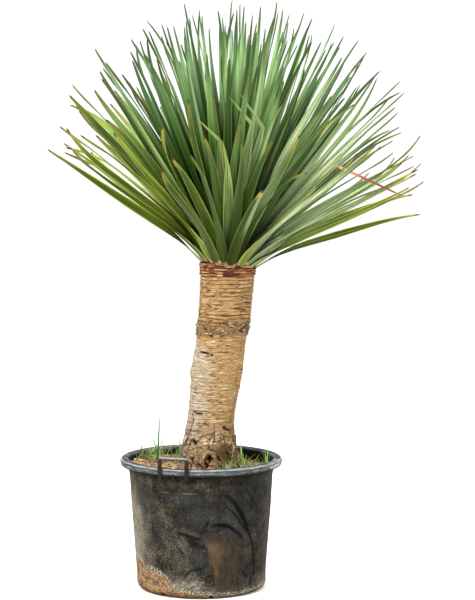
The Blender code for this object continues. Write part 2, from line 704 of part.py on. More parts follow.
def build_tuft(number, parts, joins, green):
    """A round root in its hole, with blades that arch out of its top, fused to it."""
    x, y, blades, tallest = GRASS_TUFTS[number]
    rng = np.random.default_rng(GRASS_SEED + number)
    level = tuft_level(x, y)
    low, top = level - GRASS_ROOT_DEPTH, level + GRASS_CROWN
    root = prism(f"grass_tuft_{number + 1}", (x, y), GRASS_ROOT_RADIUS, low, top, GRASS_ROOT_SIDES, parts)
    turns = np.arange(blades) * GOLDEN_ANGLE + rng.uniform(0, 2 * math.pi)
    share = np.array(GRASS_STATIONS)
    half = GRASS_WIDTH / 2 * np.array(GRASS_WIDTHS)
    for i, turn in enumerate(turns):
        height = tallest * (1.0 if i == 0 else rng.uniform(*GRASS_HEIGHTS))
        lean = math.radians(GRASS_TALLEST_LEAN if i == 0 else rng.uniform(*GRASS_LEANS))
        outward = np.array([math.cos(turn), math.sin(turn), 0.0])
        beside = np.array([-math.sin(turn), math.cos(turn), 0.0])
        if math.hypot(x, y) > GRASS_BY_WALL and outward[0] * x + outward[1] * y > 0:
            lean *= GRASS_UPRIGHT
        leans = lean * (GRASS_BEND[0] + GRASS_BEND[1] * share)
        run = np.sin(leans)[:, None] * outward + np.cos(leans)[:, None] * np.array([0.0, 0.0, 1.0])
        steps = (run[1:] + run[:-1]) / 2 * (height * np.diff(share))[:, None]
        start = np.array([x, y, (level + top) / 2]) + GRASS_BLADE_SPOT * GRASS_ROOT_RADIUS * outward
        line = np.concatenate([[start], start + np.cumsum(steps, 0)])
        across = np.repeat(beside[None, :], len(share), 0)
        upper = np.cross(run, across)
        add_grass_blade(f"blade_{i + 1}", line, across, upper, half, joins)
    join(root, joins, "UNION")
    tidy_skin(root)
    finish(root, green, 30.0)


def add_grass_blade(name, line, across, upper, half, where):
    """A narrow blade of even thickness, a keel's depth below its two edges."""
    deepen = GRASS_THICKNESS / (KEEL * GRASS_WIDTH)
    add_blade(name, line, across, upper * deepen, half, where)


def main():
    for old in list(bpy.data.objects):
        bpy.data.objects.remove(old, do_unlink=True)
    parts = collection("potted_dracaena")
    joins = collection("cutters_and_joins")
    plastic = material("black_plastic", (0.035, 0.037, 0.040), 0.55)
    earth = material("soil", (0.150, 0.085, 0.050), 0.95)
    bark = material("bark", (0.430, 0.270, 0.140), 0.85)
    green = material("leaf_green", (0.080, 0.180, 0.045), 0.50)
    grass = material("grass_green", (0.170, 0.240, 0.050), 0.60)
    build_tub(parts, joins, plastic)
    build_soil(parts, joins, earth)
    build_trunk(parts, bark)
    build_leaf_crown(parts, joins, green)
    for number in range(len(GRASS_TUFTS)):
        build_tuft(number, parts, joins, grass)


main()
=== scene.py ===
"""Potted dracaena in a pale studio: the finished surfaces, made round the part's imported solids.

Metres, +Z up. The origin is the middle of the tub's base, on the floor. The front is towards -Y.
Bearings are degrees from the front, and grow towards the right (+X).
"""

import json
import math

import bpy
import numpy as np
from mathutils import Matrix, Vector

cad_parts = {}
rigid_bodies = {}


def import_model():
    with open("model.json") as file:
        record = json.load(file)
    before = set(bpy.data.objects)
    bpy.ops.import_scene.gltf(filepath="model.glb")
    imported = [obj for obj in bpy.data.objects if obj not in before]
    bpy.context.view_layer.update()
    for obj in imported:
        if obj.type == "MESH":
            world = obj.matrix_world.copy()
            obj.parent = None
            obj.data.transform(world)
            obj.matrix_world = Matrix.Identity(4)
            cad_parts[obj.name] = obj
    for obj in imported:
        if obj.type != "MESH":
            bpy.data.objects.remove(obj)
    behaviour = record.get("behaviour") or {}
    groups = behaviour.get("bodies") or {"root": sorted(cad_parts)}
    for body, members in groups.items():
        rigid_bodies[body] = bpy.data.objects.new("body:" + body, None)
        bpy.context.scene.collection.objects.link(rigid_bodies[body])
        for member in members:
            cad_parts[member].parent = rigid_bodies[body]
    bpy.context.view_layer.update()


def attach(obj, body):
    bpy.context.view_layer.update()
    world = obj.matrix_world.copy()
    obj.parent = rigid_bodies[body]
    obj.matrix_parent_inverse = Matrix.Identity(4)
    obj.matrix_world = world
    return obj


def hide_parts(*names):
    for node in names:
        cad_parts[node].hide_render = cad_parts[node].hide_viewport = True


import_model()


# Camera: a long lens, 6.5 m in front of the tub and a little to its right, at 1.5 m, looking slightly down.

CAMERA_PLACE = (0.112, -6.5, 1.5)
CAMERA_AIM = (0.112, 0.0, 0.89)
FOCAL_LENGTH_MM = 127.7

camera_data = bpy.data.cameras.new("camera")
camera_data.lens = FOCAL_LENGTH_MM
camera = bpy.data.objects.new("camera", camera_data)
camera.location = CAMERA_PLACE
camera.rotation_euler = (Vector(CAMERA_AIM) - Vector(CAMERA_PLACE)).to_track_quat("-Z", "Y").to_euler()
bpy.context.collection.objects.link(camera)
bpy.context.scene.camera = camera


# Studio: one pale sweep that is flat round the plant and rises far off on all sides, under an even white
# sky, with a large soft lamp high on the left, a weaker one on the right and one overhead.

FLOOR_RADIUS = 13.0
SWEEP_RADIUS = 3.0
SWEEP_TOP = 3.4
SWEEP_FIRST_RING = 0.6
SWEEP_ROWS, SWEEP_COLUMNS = 12, 128
FLOOR_COLOUR = (0.97, 0.97, 0.97, 1.0)
SKY_STRENGTH = 1.0
LAMPS = (                   # name, place, width, watts
    ("lamp_left", (-3.0, -4.2, 4.8), 1.8, 560.0),
    ("lamp_right", (4.0, -2.6, 3.0), 2.6, 125.0),
    ("lamp_top", (0.9, 0.6, 5.2), 2.0, 190.0),
)


class Value:
    """A number or colour in a material under way. What is done with it adds a node and gives a new value."""

    def __init__(self, finish, socket):
        self.finish, self.socket = finish, socket

    def __add__(self, other):
        return self.finish.node("ShaderNodeMath", "Value", {0: self, 1: other}, operation="ADD")

    def __mul__(self, other):
        return self.finish.node("ShaderNodeMath", "Value", {0: self, 1: other}, operation="MULTIPLY")

    def stirred(self, noise, amount):
        """This number made uneven by a noise, by up to half the amount up or down."""
        return self + (noise + -0.5) * amount

    def step(self, low, high):
        """0 below low, 1 above high, and smooth between."""
        inputs = {"Value": self, "From Min": low, "From Max": high}
        return self.finish.node("ShaderNodeMapRange", "Result", inputs, interpolation_type="SMOOTHSTEP")

    def between(self, a, b):
        """The colour that lies between a and b by this share."""
        return self.finish.mix(self, a, b)

    def under(self, share, colour):
        """This colour with a share of another laid over it."""
        return self.finish.mix(share, self, colour)

    def tinted(self, share, colour):
        """This colour, with a share of it multiplied by another."""
        return self.finish.mix(share, self, colour, "MULTIPLY")


class Finish:
    """A material under way: its shader, and the place in the object that its noises read."""

    def __init__(self, name, roughness, **constants):
        self.material = bpy.data.materials.new(name)
        self.material.use_nodes = True
        self.tree = self.material.node_tree
        self.shader = self.tree.nodes["Principled BSDF"]
        self.place = self.node("ShaderNodeTexCoord", "Object")
        self.shader.inputs["Roughness"].default_value = roughness
        for socket, value in constants.items():
            self.shader.inputs[socket.replace("_", " ")].default_value = value

    def put(self, socket, value):
        if isinstance(value, Value):
            self.tree.links.new(value.socket, socket)
        elif isinstance(value, tuple) and len(value) == 3 and socket.type == "RGBA":
            socket.default_value = (*value, 1.0)
        else:
            socket.default_value = value

    def node(self, kind, output, inputs=None, **settings):
        """A new node with these inputs and settings, as the value of one of its outputs."""
        made = self.tree.nodes.new(kind)
        for name, value in settings.items():
            setattr(made, name, value)
        for name, value in (inputs or {}).items():
            self.put(made.inputs[name], value)
        return Value(self, made.outputs[output])

    def attributes(self, names):
        """The numbers that the mesh carries under these names, which spaces part."""
        return [self.node("ShaderNodeAttribute", "Fac", attribute_name=name) for name in names.split()]

    def vector(self, operation, a, b):
        return self.node("ShaderNodeVectorMath", "Vector", {0: a, 1: b}, operation=operation)

    def noise(self, size, detail=4.0, at=None):
        """Cloudy noise from 0 to 1. Its clouds have this size, or three lengths along the axes."""
        at = at or self.place
        if isinstance(size, tuple):
            at, size = self.vector("MULTIPLY", at, tuple(1.0 / length for length in size)), 1.0
        inputs = {"Vector": at, "Scale": 1.0 / size, "Detail": detail, "Roughness": 0.6}
        return self.node("ShaderNodeTexNoise", "Fac", inputs)

    def mix(self, share, a, b, blend="MIX"):
        return self.node("ShaderNodeMix", 2, {0: share, 6: a, 7: b}, data_type="RGBA", blend_type=blend)

    def coloured(self, colour, roughness=None):
        """The finished material, with this colour, and with this roughness where it varies."""
        self.put(self.shader.inputs["Base Color"], colour)
        if roughness:
            self.put(self.shader.inputs["Roughness"], roughness)
        return self.material

    def bump(self, height, distance, strength):
        inputs = {"Height": height, "Distance": distance, "Strength": strength}
        self.put(self.shader.inputs["Normal"], self.node("ShaderNodeBump", "Normal", inputs))


def new_piece(name, points, faces, material):
    """A smooth mesh object at the origin."""
    mesh = bpy.data.meshes.new(name)
    mesh.from_pydata(points, [], faces)
    mesh.materials.append(material)
    mesh.shade_smooth()
    piece = bpy.data.objects.new(name, mesh)
    bpy.context.collection.objects.link(piece)
    return piece


def turned(radius, height, turn):
    """Points at this radius and height, by the turn about the upright axis."""
    return np.stack(np.broadcast_arrays(radius * np.cos(turn), radius * np.sin(turn), height), -1)


def sweep_rings():
    """Flat rings from the middle out, then a quarter circle up, then a wall."""
    flat = [(r, 0.0) for r in np.linspace(SWEEP_FIRST_RING, FLOOR_RADIUS, SWEEP_ROWS)]
    bend = np.radians(np.linspace(90 / SWEEP_ROWS, 90, SWEEP_ROWS))
    curve = [(FLOOR_RADIUS + SWEEP_RADIUS * math.sin(a), SWEEP_RADIUS * (1 - math.cos(a))) for a in bend]
    profile = np.array(flat + curve + [(FLOOR_RADIUS + SWEEP_RADIUS, SWEEP_TOP)])
    return turned(profile[:, :1], profile[:, 1:], np.linspace(0, 2 * math.pi, SWEEP_COLUMNS, endpoint=False))


rings = sweep_rings()
row, turn = np.meshgrid(np.arange(len(rings) - 1), np.arange(SWEEP_COLUMNS), indexing="ij")
corner = row * SWEEP_COLUMNS + turn
across = row * SWEEP_COLUMNS + (turn + 1) % SWEEP_COLUMNS
quads = np.stack([corner, corner + SWEEP_COLUMNS, across + SWEEP_COLUMNS, across], -1).reshape(-1, 4).tolist()
middle = len(rings) * SWEEP_COLUMNS
fan = [(middle, i, (i + 1) % SWEEP_COLUMNS) for i in range(SWEEP_COLUMNS)]
points = rings.reshape(-1, 3).tolist() + [(0.0, 0.0, 0.0)]
floor = new_piece("floor", points, quads + fan, Finish("studio_floor", 0.8).coloured(FLOOR_COLOUR))

world = bpy.data.worlds.new("sky")
world.use_nodes = True
world.node_tree.nodes["Background"].inputs["Color"].default_value = (1.0, 1.0, 1.0, 1.0)
world.node_tree.nodes["Background"].inputs["Strength"].default_value = SKY_STRENGTH
bpy.context.scene.world = world
bpy.context.scene.view_settings.view_transform = "Standard"
for name, place, width, watts in LAMPS:
    lamp_data = bpy.data.lights.new(name, "AREA")
    lamp_data.size = width
    lamp_data.energy = watts
    lamp = bpy.data.objects.new(name, lamp_data)
    lamp.location = place
    lamp.rotation_euler = (Vector(CAMERA_AIM) - Vector(place)).to_track_quat("-Z", "Y").to_euler()
    bpy.context.collection.objects.link(lamp)


# Tub: one moulding of black plastic, widening upwards, with a rounded foot, drain holes in the corner and a
# hollow rolled lip. Years outdoors have buckled its wall, greyed the lip and left dust, mud and stains. Shade
# in the folds, a sheen beside them and light and shade on the lip are painted.

RIM_RADIUS = 0.250
TUB_HEIGHT = 0.405
WALL = 0.0035
WALL_TOP_RADIUS = 0.2265
WALL_TOP_HEIGHT = 0.390
INSIDE_RISE = 0.006         # how far the wall's inside runs up into the lip
LIP_START = 0.2275          # radius from which the lip, not the wall, is seen
FOOT_RADIUS = 0.198
FOOT_CORNER = 0.022
LIP_OUTSIDE = (             # radius, and depth below the top, from the inner edge over to the lip's free edge
    (0.2268, 0.0016), (0.2310, 0.0003), (0.2375, 0.0), (0.2440, 0.0014), (0.2482, 0.0052), (0.2500, 0.0110),
    (0.2494, 0.0165), (0.2472, 0.0208), (0.2448, 0.0226),
)
LIP_INSIDE = ((0.2434, 0.0212), (0.2446, 0.0160), (0.2445, 0.0100), (0.2420, 0.0062), (0.2380, 0.0046),
              (0.2310, 0.0056), (0.2265, 0.0085))
BASE_RINGS = (0.05, 0.11)
DRAIN_HOLES = 8
DRAIN_RADIUS = 0.008
DRAIN_FIRST_BEARING = 9.6
DRAIN_ROD_LENGTH = 0.024    # of the rods that cut the holes
BUCKLED_BEARINGS = (-92.0, 92.0)    # here the grid is fine enough for the folds
FINE_STEP = 0.62
COARSE_STEP = 2.4
WALL_ROW = 0.0031
DENTED_HEIGHTS = (0.012, 0.372)     # folds run out before the corner and the lip
SLOW_WAVE, QUICK_WAVE = 0.0016, 0.0004
DEEPEST_FOLD = 0.013
FOLD_CREASE = 0.0026                # half width of the darkest painted shade along a fold, at most
FOLDS = (                   # half width, depth, painted shade, painted sheen above and below, route of (bearing, height)
    (0.0095, 0.0095, 1.0, 0.1, 0.5, ((22, 0.317), (27, 0.303), (31, 0.284), (36, 0.262), (40, 0.236),
                                     (44, 0.210), (47, 0.186), (49, 0.170))),
    (0.0048, 0.0050, 0.9, 0.5, 0.0, ((21, 0.284), (27, 0.269), (33, 0.248), (37, 0.227), (43, 0.203),
                                     (48, 0.184))),
    (0.0075, 0.0070, 1.0, 0.6, 0.0, ((9, 0.225), (14, 0.231), (19, 0.229), (26, 0.220), (32, 0.203),
                                     (40, 0.178))),
    (0.0026, 0.0026, 1.0, 0.0, 0.0, ((47, 0.190), (49, 0.171), (51, 0.130), (53, 0.082), (55, 0.040))),
    (0.0024, 0.0014, 0.85, 0.2, 0.0, ((32, 0.362), (40, 0.328), (49, 0.289), (55, 0.256))),
    (0.0024, 0.0014, 0.75, 0.2, 0.0, ((31, 0.323), (40, 0.297), (47, 0.268))),
    (0.0034, 0.0025, 0.4, 0.2, 0.0, ((57, 0.180), (63, 0.205), (70, 0.226))),
    (0.0036, 0.0030, 0.8, 0.0, 0.0, ((38, 0.083), (46, 0.056))),
    (0.0034, 0.0050, 1.0, 0.0, 0.0, ((49, 0.054), (49.5, 0.018))),
    (0.0015, 0.0010, 0.5, 0.0, 0.0, ((42, 0.133), (51, 0.129))),
    (0.0056, 0.0065, 0.9, 0.5, 0.0, ((-20, 0.207), (-11, 0.197), (0, 0.186))),
    (0.0140, 0.0045, 0.8, 0.0, 0.0, ((-12, 0.190), (-6, 0.176), (1, 0.160))),
    (0.0040, 0.0050, 0.9, 0.3, 0.0, ((-20, 0.163), (-13, 0.135))),
    (0.0040, 0.0042, 0.8, 0.0, 0.4, ((-15, 0.060), (-9, 0.088), (3, 0.099))),
    (0.0038, 0.0040, 1.0, 0.0, 0.0, ((7, 0.243), (4.5, 0.224))),
    (0.0040, 0.0016, 0.4, 0.0, 0.0, ((15, 0.288), (14, 0.266))),
    (0.0062, 0.0045, 0.5, 0.4, 0.0, ((-83, 0.290), (-74, 0.252), (-64, 0.212), (-58, 0.156))),
    (0.0016, 0.0008, 0.7, 0.0, 0.0, ((4, 0.066), (10, 0.075))),
    (0.0016, 0.0008, 0.7, 0.0, 0.0, ((-3, 0.042), (9, 0.048))),
    (0.0015, 0.0008, 0.6, 0.0, 0.0, ((0, 0.057), (7, 0.062))),
    (0.0070, 0.0060, 0.6, 0.5, 0.0, ((148, 0.318), (160, 0.282), (170, 0.235), (176, 0.170), (178, 0.110))),
    (0.0050, 0.0040, 0.6, 0.4, 0.0, ((208, 0.120), (216, 0.152), (230, 0.168))),
    (0.0060, 0.0045, 0.5, 0.4, 0.0, ((112, 0.260), (120, 0.225), (124, 0.180))),
)
SCRAPES = (                 # half width, strength, then the route as (bearing, height)
    (0.0012, 1.0, ((-33, 0.3285), (-22, 0.3265))), (0.0014, 0.95, ((-22, 0.3265), (0, 0.3290))),
    (0.0012, 0.8, ((-27, 0.304), (-21, 0.315), (-13, 0.316))), (0.0016, 0.9, ((-23, 0.2985), (-17, 0.300))),
    (0.0018, 0.6, ((-12, 0.262), (-10, 0.263))), (0.0012, 0.5, ((-18, 0.2065), (-2, 0.190))),
    (0.0022, 1.0, ((1.5, 0.154), (4.5, 0.151))), (0.0018, 0.8, ((-8, 0.112), (-6, 0.105))),
    (0.0020, 0.9, ((-28, 0.062), (-22, 0.068), (-17, 0.064))),
    (0.0016, 0.8, ((-3, 0.070), (3, 0.074), (7, 0.080))),
    (0.0016, 0.7, ((56, 0.046), (60, 0.032), (57, 0.020))), (0.0016, 0.7, ((46, 0.030), (52, 0.026))),
    (0.0016, 0.5, ((66, 0.330), (72, 0.318))),
    (0.0022, 1.4, ((6.0, 0.0095), (9.5, 0.0125), (13.0, 0.0118))),
)
CRUMPLE = ((-8.0, 0.044), (17.0, 0.017))       # crumpled and scuffed pale: middle and spread
MUD_LINE = (                # bearing, and the height that dried mud reaches there
    (-180, 0.045), (-140, 0.060), (-105, 0.095), (-80, 0.108), (-61, 0.095), (-57, 0.079), (-39, 0.078),
    (-32, 0.062), (-27, 0.045), (-20, 0.029), (-11, 0.019), (-2, 0.013), (20, 0.009), (60, 0.011),
    (110, 0.030), (180, 0.045),
)
MUD_FADE = 0.022
NO_MUD = -3.0
LIP_RADII, LIP_HEIGHTS = (0.2262, 0.2300), (0.380, 0.385)   # over which the wall's looks turn into the lip's
LIP_RIDGE = (0.396, 0.402)
SHARP_FROM = 50.0           # degrees between two faces, from which the edge between them is sharp
STAIN_EDGES = (             # height, and the bearings between which brown water has run down
    (0.012, 13.0, 34.0), (0.050, 11.0, 40.0), (0.110, 7.5, 44.0), (0.165, 4.0, 40.0), (0.200, 0.5, 30.0),
    (0.216, 2.0, 18.0),
)
RUST = (                    # browner spots in the stain: middle and spread as (bearing, height), and strength
    ((9.5, 0.160), (6.5, 0.020), 0.55), ((13, 0.100), (4.0, 0.050), 0.30),
    ((17.3, 0.206), (1.0, 0.0032), 1.3),
)
SLEEK = (                   # smooth blue-black patches with less dust and a painted sheen: middle and spread
    ((-1, 0.126), (6.5, 0.036)), ((-3, 0.172), (5.0, 0.018)), ((-15, 0.312), (17.0, 0.020)),
    ((-52, 0.300), (10.0, 0.038)), ((30, 0.240), (12.0, 0.050)), ((4, 0.252), (16.0, 0.030)),
)
LEFT_DUST = (-165.0, -62.0)         # bearings between which the wall's edge is pale with dust


def mottle(points, cell, seed):
    """Smooth noise from -1 to 1: random values at the corners of a cubic lattice, eased between them."""
    scaled = np.asarray(points) / cell
    base = np.floor(scaled).astype(np.int64)
    ease = scaled - base
    ease = ease * ease * (3 - 2 * ease)
    values = np.random.default_rng(seed).uniform(-1, 1, 4096)
    total = 0.0
    for corner in range(8):
        step = np.array([corner & 1, corner >> 1 & 1, corner >> 2 & 1])
        at = base + step
        index = (at[..., 0] * 73856093 ^ at[..., 1] * 19349663 ^ at[..., 2] * 83492791) & 4095
        total = total + values[index] * np.prod(np.where(step == 1, ease, 1 - ease), axis=-1)
    return total


def rough(points, cell, seed, layers=3):
    """Mottles added up, each half as large and half as strong as the last."""
    return sum(mottle(points, cell / 2 ** i, seed + i) / 2 ** i for i in range(layers)) / 1.6


def eased(value, low, high):
    """0 below low, 1 above high, and smooth between."""
    share = np.clip((value - low) / (high - low), 0, 1)
    return share * share * (3 - 2 * share)


def window(value, start, full, fade, stop):
    """0 below start, 1 from full to fade, 0 above stop, and smooth between."""
    return eased(value, start, full) * (1 - eased(value, fade, stop))


def tube_piece(name, rings, material, first=None, last=None):
    """Closed tubes as one piece: rings of points for each tube, and the points where its two ends close.

    rings has the shape (tubes, rings, points round, 3), first and last the shape (tubes, 3); where they are
    left out, an end closes on the middle of its ring. The points of the mesh are all rings, then all first
    ends, then all last ends.
    """
    tubes, length, around = rings.shape[:3]
    first = rings[:, 0].mean(1) if first is None else first
    last = rings[:, -1].mean(1) if last is None else last
    tube, row, turn = np.meshgrid(np.arange(tubes), np.arange(length - 1), np.arange(around), indexing="ij")
    start = (tube * length + row) * around
    near, far = start + turn, start + (turn + 1) % around
    quads = np.stack([near, far, far + around, near + around], -1).reshape(-1, 4)
    near, far, tube = near[:, 0], far[:, 0], tube[:, 0] + tubes * length * around
    start_fan = np.stack([near, tube, far], -1).reshape(-1, 3)
    onward = (length - 1) * around
    end_fan = np.stack([far + onward, tube + tubes, near + onward], -1).reshape(-1, 3)
    points = np.concatenate([rings.reshape(-1, 3), first, last])
    a, b, c, d = (points[quads[:, i]] for i in range(4))
    if np.sum(np.cross(c - a, d - b) * (a + b + c + d)) < 0:
        quads, start_fan, end_fan = quads[:, ::-1], start_fan[:, ::-1], end_fan[:, ::-1]
    faces = quads.tolist() + start_fan.tolist() + end_fan.tolist()
    return new_piece(name, points.tolist(), faces, material)


def mark(piece, name, values):
    """Keep one number for each point of the piece, for its finish to read."""
    values = np.asarray(values, np.float32).ravel()
    piece.data.attributes.new(name, "FLOAT", "POINT").data.foreach_set("value", values)


def wall_radius(height):
    """The wall's outer radius, which grows evenly from the foot up."""
    return FOOT_RADIUS + (WALL_TOP_RADIUS - FOOT_RADIUS) * height / WALL_TOP_HEIGHT


def foot_corner(inset):
    """The round corner from the wall to the base, moved in by the inset."""
    centre = wall_radius(FOOT_CORNER) - FOOT_CORNER
    angle = np.radians(np.linspace(0, -90, 12))
    reach = FOOT_CORNER - inset
    return np.stack([centre + reach * np.cos(angle), FOOT_CORNER + reach * np.sin(angle)], 1)


def eased_through(points, steps):
    """A smooth curve through a few (radius, height) points, by cubic segments with even tangents."""
    p = np.array(points)
    slope = np.gradient(p, axis=0)
    out = []
    for i in range(len(p) - 1):
        s = np.linspace(0, 1, steps, endpoint=False)[:, None]
        h00, h10 = 2 * s ** 3 - 3 * s ** 2 + 1, s ** 3 - 2 * s ** 2 + s
        out.append(h00 * p[i] + h10 * slope[i] + (1 - h00) * p[i + 1] + (s ** 3 - s ** 2) * slope[i + 1])
    return np.concatenate(out + [p[-1:]])


def tub_profile():
    """Radius and height from the middle of the inside, up, over the lip, and down the outside to the base."""
    inner_heights = np.arange(FOOT_CORNER, WALL_TOP_HEIGHT + INSIDE_RISE, 3 * WALL_ROW)
    inside = np.stack([wall_radius(inner_heights) - WALL, inner_heights], 1)
    lip = eased_through([(radius, TUB_HEIGHT - depth) for radius, depth in LIP_OUTSIDE + LIP_INSIDE], 3)
    outer_heights = np.arange(WALL_TOP_HEIGHT, FOOT_CORNER, -WALL_ROW)
    outside = np.stack([wall_radius(outer_heights), outer_heights], 1)
    inner_base = [(r, WALL) for r in BASE_RINGS]
    outer_base = [(r, 0.0) for r in BASE_RINGS[::-1]]
    return np.concatenate([inner_base, foot_corner(WALL)[::-1], inside[1:], lip, outside, foot_corner(0.0),
                           outer_base])


def by_route(bearing, height, route, radius):
    """The gap in metres to a route on a round wall, the side of it that a point is on, and how far along.

    The wall is rolled out flat, and a point is taken to the nearest of the route's straight runs.
    """
    line = np.array(route) * (math.radians(radius), 1)
    gap, side, share = np.full(height.shape, 9.0), np.zeros(height.shape), np.zeros(height.shape)
    for i, run in enumerate(np.diff(line, axis=0)):
        off_x = np.radians((bearing - route[i][0] + 180) % 360 - 180) * radius
        off_z = height - line[i, 1]
        t = np.clip((off_x * run[0] + off_z * run[1]) / (run @ run), 0, 1)
        here = np.hypot(off_x - t * run[0], off_z - t * run[1])
        nearer = here < gap
        gap = np.where(nearer, here, gap)
        side = np.where(nearer, np.sign(run[0] * off_z - run[1] * off_x), side)
        share = np.where(nearer, (i + t) / (len(line) - 1), share)
    return gap, side, share


def fold_shape(bearing, height):
    """How deep the wall is folded in, in metres, and the painted shade in the fold and painted sheen beside
    it, 0 to 1.

    Across a route the wall sinks by a bell curve, wider below than above. A fold is widest and deepest at the
    middle of its route and runs out towards both ends. Its shoulders carry a painted sheen.
    """
    depth_in, dark, sheen = np.zeros(height.shape), np.zeros(height.shape), np.zeros(height.shape)
    for width, depth, darkness, above, below, route in FOLDS:
        gap, side, share = by_route(bearing, height, route, WALL_TOP_RADIUS)
        swell = np.sin(math.pi * np.clip(0.06 + 0.88 * share, 0, 1))
        here = width * (0.35 + 0.65 * swell)
        depth_in += depth * swell ** 0.7 * np.exp(-(gap / (here * np.where(side < 0, 2.2, 1.0))) ** 2)
        crease = np.exp(-(gap / min(width, FOLD_CREASE)) ** 2)
        black = np.maximum(np.exp(-(gap / (0.85 * here)) ** 4), crease)
        dark = np.maximum(dark, darkness * swell ** 0.35 * black)
        shoulder = np.where(side > 0, above, below) * swell
        sheen = np.maximum(sheen, shoulder * np.exp(-((gap - 2.6 * here) / (1.9 * here)) ** 2))
    return depth_in, dark, sheen


def buckled(points):
    """The tub's points with the wall's folds and slow waves; the corner, the lip and the base stay true."""
    radius = np.hypot(points[..., 0], points[..., 1])
    bearing = np.degrees(np.arctan2(points[..., 0], -points[..., 1]))
    height = points[..., 2]
    on_wall = np.abs(radius - wall_radius(height)) < 2 * WALL
    low, high = DENTED_HEIGHTS
    share = window(height, low, low + 0.03, high - 0.02, high) * on_wall
    depth_in = fold_shape(bearing, height)[0]
    waves = SLOW_WAVE * mottle(points * (1, 1, 0.7), 0.085, 11) + QUICK_WAVE * mottle(points, 0.02, 12)
    moved = 1 - share * (depth_in + waves + SLOW_WAVE + QUICK_WAVE / 2) / np.maximum(radius, 0.05)
    return points * np.stack([moved, moved, np.ones_like(moved)], -1)


def black_plastic():
    """Old black polypropylene. Over it lie dust, specks, brown runs, painted shade in the folds and a painted
    sheen beside them, the greyed lip with its painted highlight and shade, and mud.

    Each share is one of the marks of wear_and_painted_light_of, stirred by noise so that its edge is ragged.
    """
    made = Finish("weathered_black_plastic", 0.6, Specular_IOR_Level=0.02)
    dust, sheen, stain, fold, lit = made.attributes("dust sheen stain fold lit")
    chalk, rim, crumple, mud, scrape = made.attributes("chalk rim crumple mud scrape")
    specks, grains = made.noise(0.0042), made.noise(0.0024, 2)
    clouds, patches = made.noise(0.030, 8), made.noise(0.016, 5)
    streaks, runs = made.noise((0.010, 0.010, 0.09), 5), made.noise((0.009, 0.009, 0.040), 5)
    rim_tone, ridges = made.noise((0.030, 0.030, 0.006), 6), made.noise((0.014, 0.014, 0.0055), 5)
    dusty = dust.stirred(clouds, 1.1).stirred(streaks, 0.5).stirred(specks, 2.4).step(0.02, 1.30)
    skin = (clouds + grains * 0.6).step(0.55, 1.05).between((0.005, 0.0046, 0.003), (0.0195, 0.018, 0.0142))
    skin = skin.under(dusty, (0.070, 0.059, 0.043))
    thick = dust.stirred(clouds, 1.6).stirred(specks, 2.4).step(0.75, 2.00)
    skin = skin.under(thick * 0.85, (0.205, 0.180, 0.138))
    skin = skin.under(grains.step(0.56, 0.68) * dusty.step(0.05, 0.8) * 0.70, (0.230, 0.198, 0.142))
    skin = skin.under(specks.step(0.60, 0.74) * 0.35, (0.130, 0.115, 0.085))
    # A painted sheen on the folds' shoulders and the sleek patches.
    skin = skin.under(sheen * specks.step(0.30, 0.75) * 0.85, (0.078, 0.084, 0.088))
    brown = runs.step(0.36, 0.62).between((0.023, 0.017, 0.011), (0.040, 0.031, 0.020))
    brown = brown.under(stain.stirred(clouds, 1.0).step(0.85, 1.35), (0.082, 0.055, 0.028))
    skin = skin.under(stain.stirred(clouds, 0.5).step(0.05, 0.85) * 0.85, brown)
    # Painted shade along the folds.
    skin = skin.under(fold, (0.0022, 0.0020, 0.0018))
    lit = lit.stirred(rim_tone, 1.2)
    lip = rim_tone.step(0.30, 0.70).between((0.030, 0.034, 0.036), (0.080, 0.088, 0.091))
    # The lip's painted highlight, then the painted shade on its underside.
    lip = lip.under(lit.step(0.30, 1.00), (0.270, 0.285, 0.275))
    lip = lip.under(lit.step(-0.20, -0.90), (0.012, 0.010, 0.008))
    lip = lip.under(chalk.stirred(rim_tone, 2.6).step(0.25, 1.10) * 0.80, (0.340, 0.325, 0.275))
    lip = lip.under((specks + clouds * 0.5).step(0.90, 1.02), (0.34, 0.31, 0.25))
    skin = skin.under(rim, lip)
    scuffed = crumple.stirred(ridges, 3.4).step(0.60, 1.20) * 0.75
    skin = skin.under(scuffed, grains.between((0.090, 0.078, 0.060), (0.360, 0.325, 0.255)))
    mud = mud.stirred(clouds, 1.6).stirred(specks, 0.9)
    skin = skin.under(mud.step(-0.70, -0.05) * specks.step(0.44, 0.60) * 0.85, (0.330, 0.300, 0.230))
    earth = patches.step(0.38, 0.60).between((0.092, 0.057, 0.030), (0.240, 0.136, 0.066))
    earth = earth.under(specks.step(0.56, 0.66) * 0.75, (0.450, 0.365, 0.245))
    earth = earth.under(specks.step(0.47, 0.38) * 0.90, (0.036, 0.022, 0.012))
    ground = (made.node("ShaderNodeSeparateXYZ", "Z", {0: made.place}) + patches * 0.02).step(0.034, 0.010)
    skin = skin.under(mud.step(-0.05, 0.20), earth.under(ground, (0.075, 0.042, 0.014)))
    scraped = scrape.stirred(specks, 2.2).step(0.35, 0.85) * scrape * 0.80
    skin = skin.under(scraped, grains.between((0.090, 0.066, 0.044), (0.260, 0.205, 0.140)))
    made.bump(specks + streaks * 0.8, 0.0010, 0.8)
    return made.coloured(skin, dusty * 0.30 + 0.52)


plastic = black_plastic()
bearings = np.concatenate([np.arange(BUCKLED_BEARINGS[0], BUCKLED_BEARINGS[1], FINE_STEP),
                           np.arange(BUCKLED_BEARINGS[1], BUCKLED_BEARINGS[0] + 360, COARSE_STEP)])
profile = tub_profile()
turn = np.radians(bearings)
radius, height = profile[:, :1], profile[:, 1:]
rings = np.stack([radius * np.sin(turn), -radius * np.cos(turn), height + 0 * turn], 2)[None]
ends = np.array([[0.0, 0.0, WALL]]), np.array([[0.0, 0.0, 0.0]])
tub = tube_piece("tub", buckled(rings), plastic, *ends)

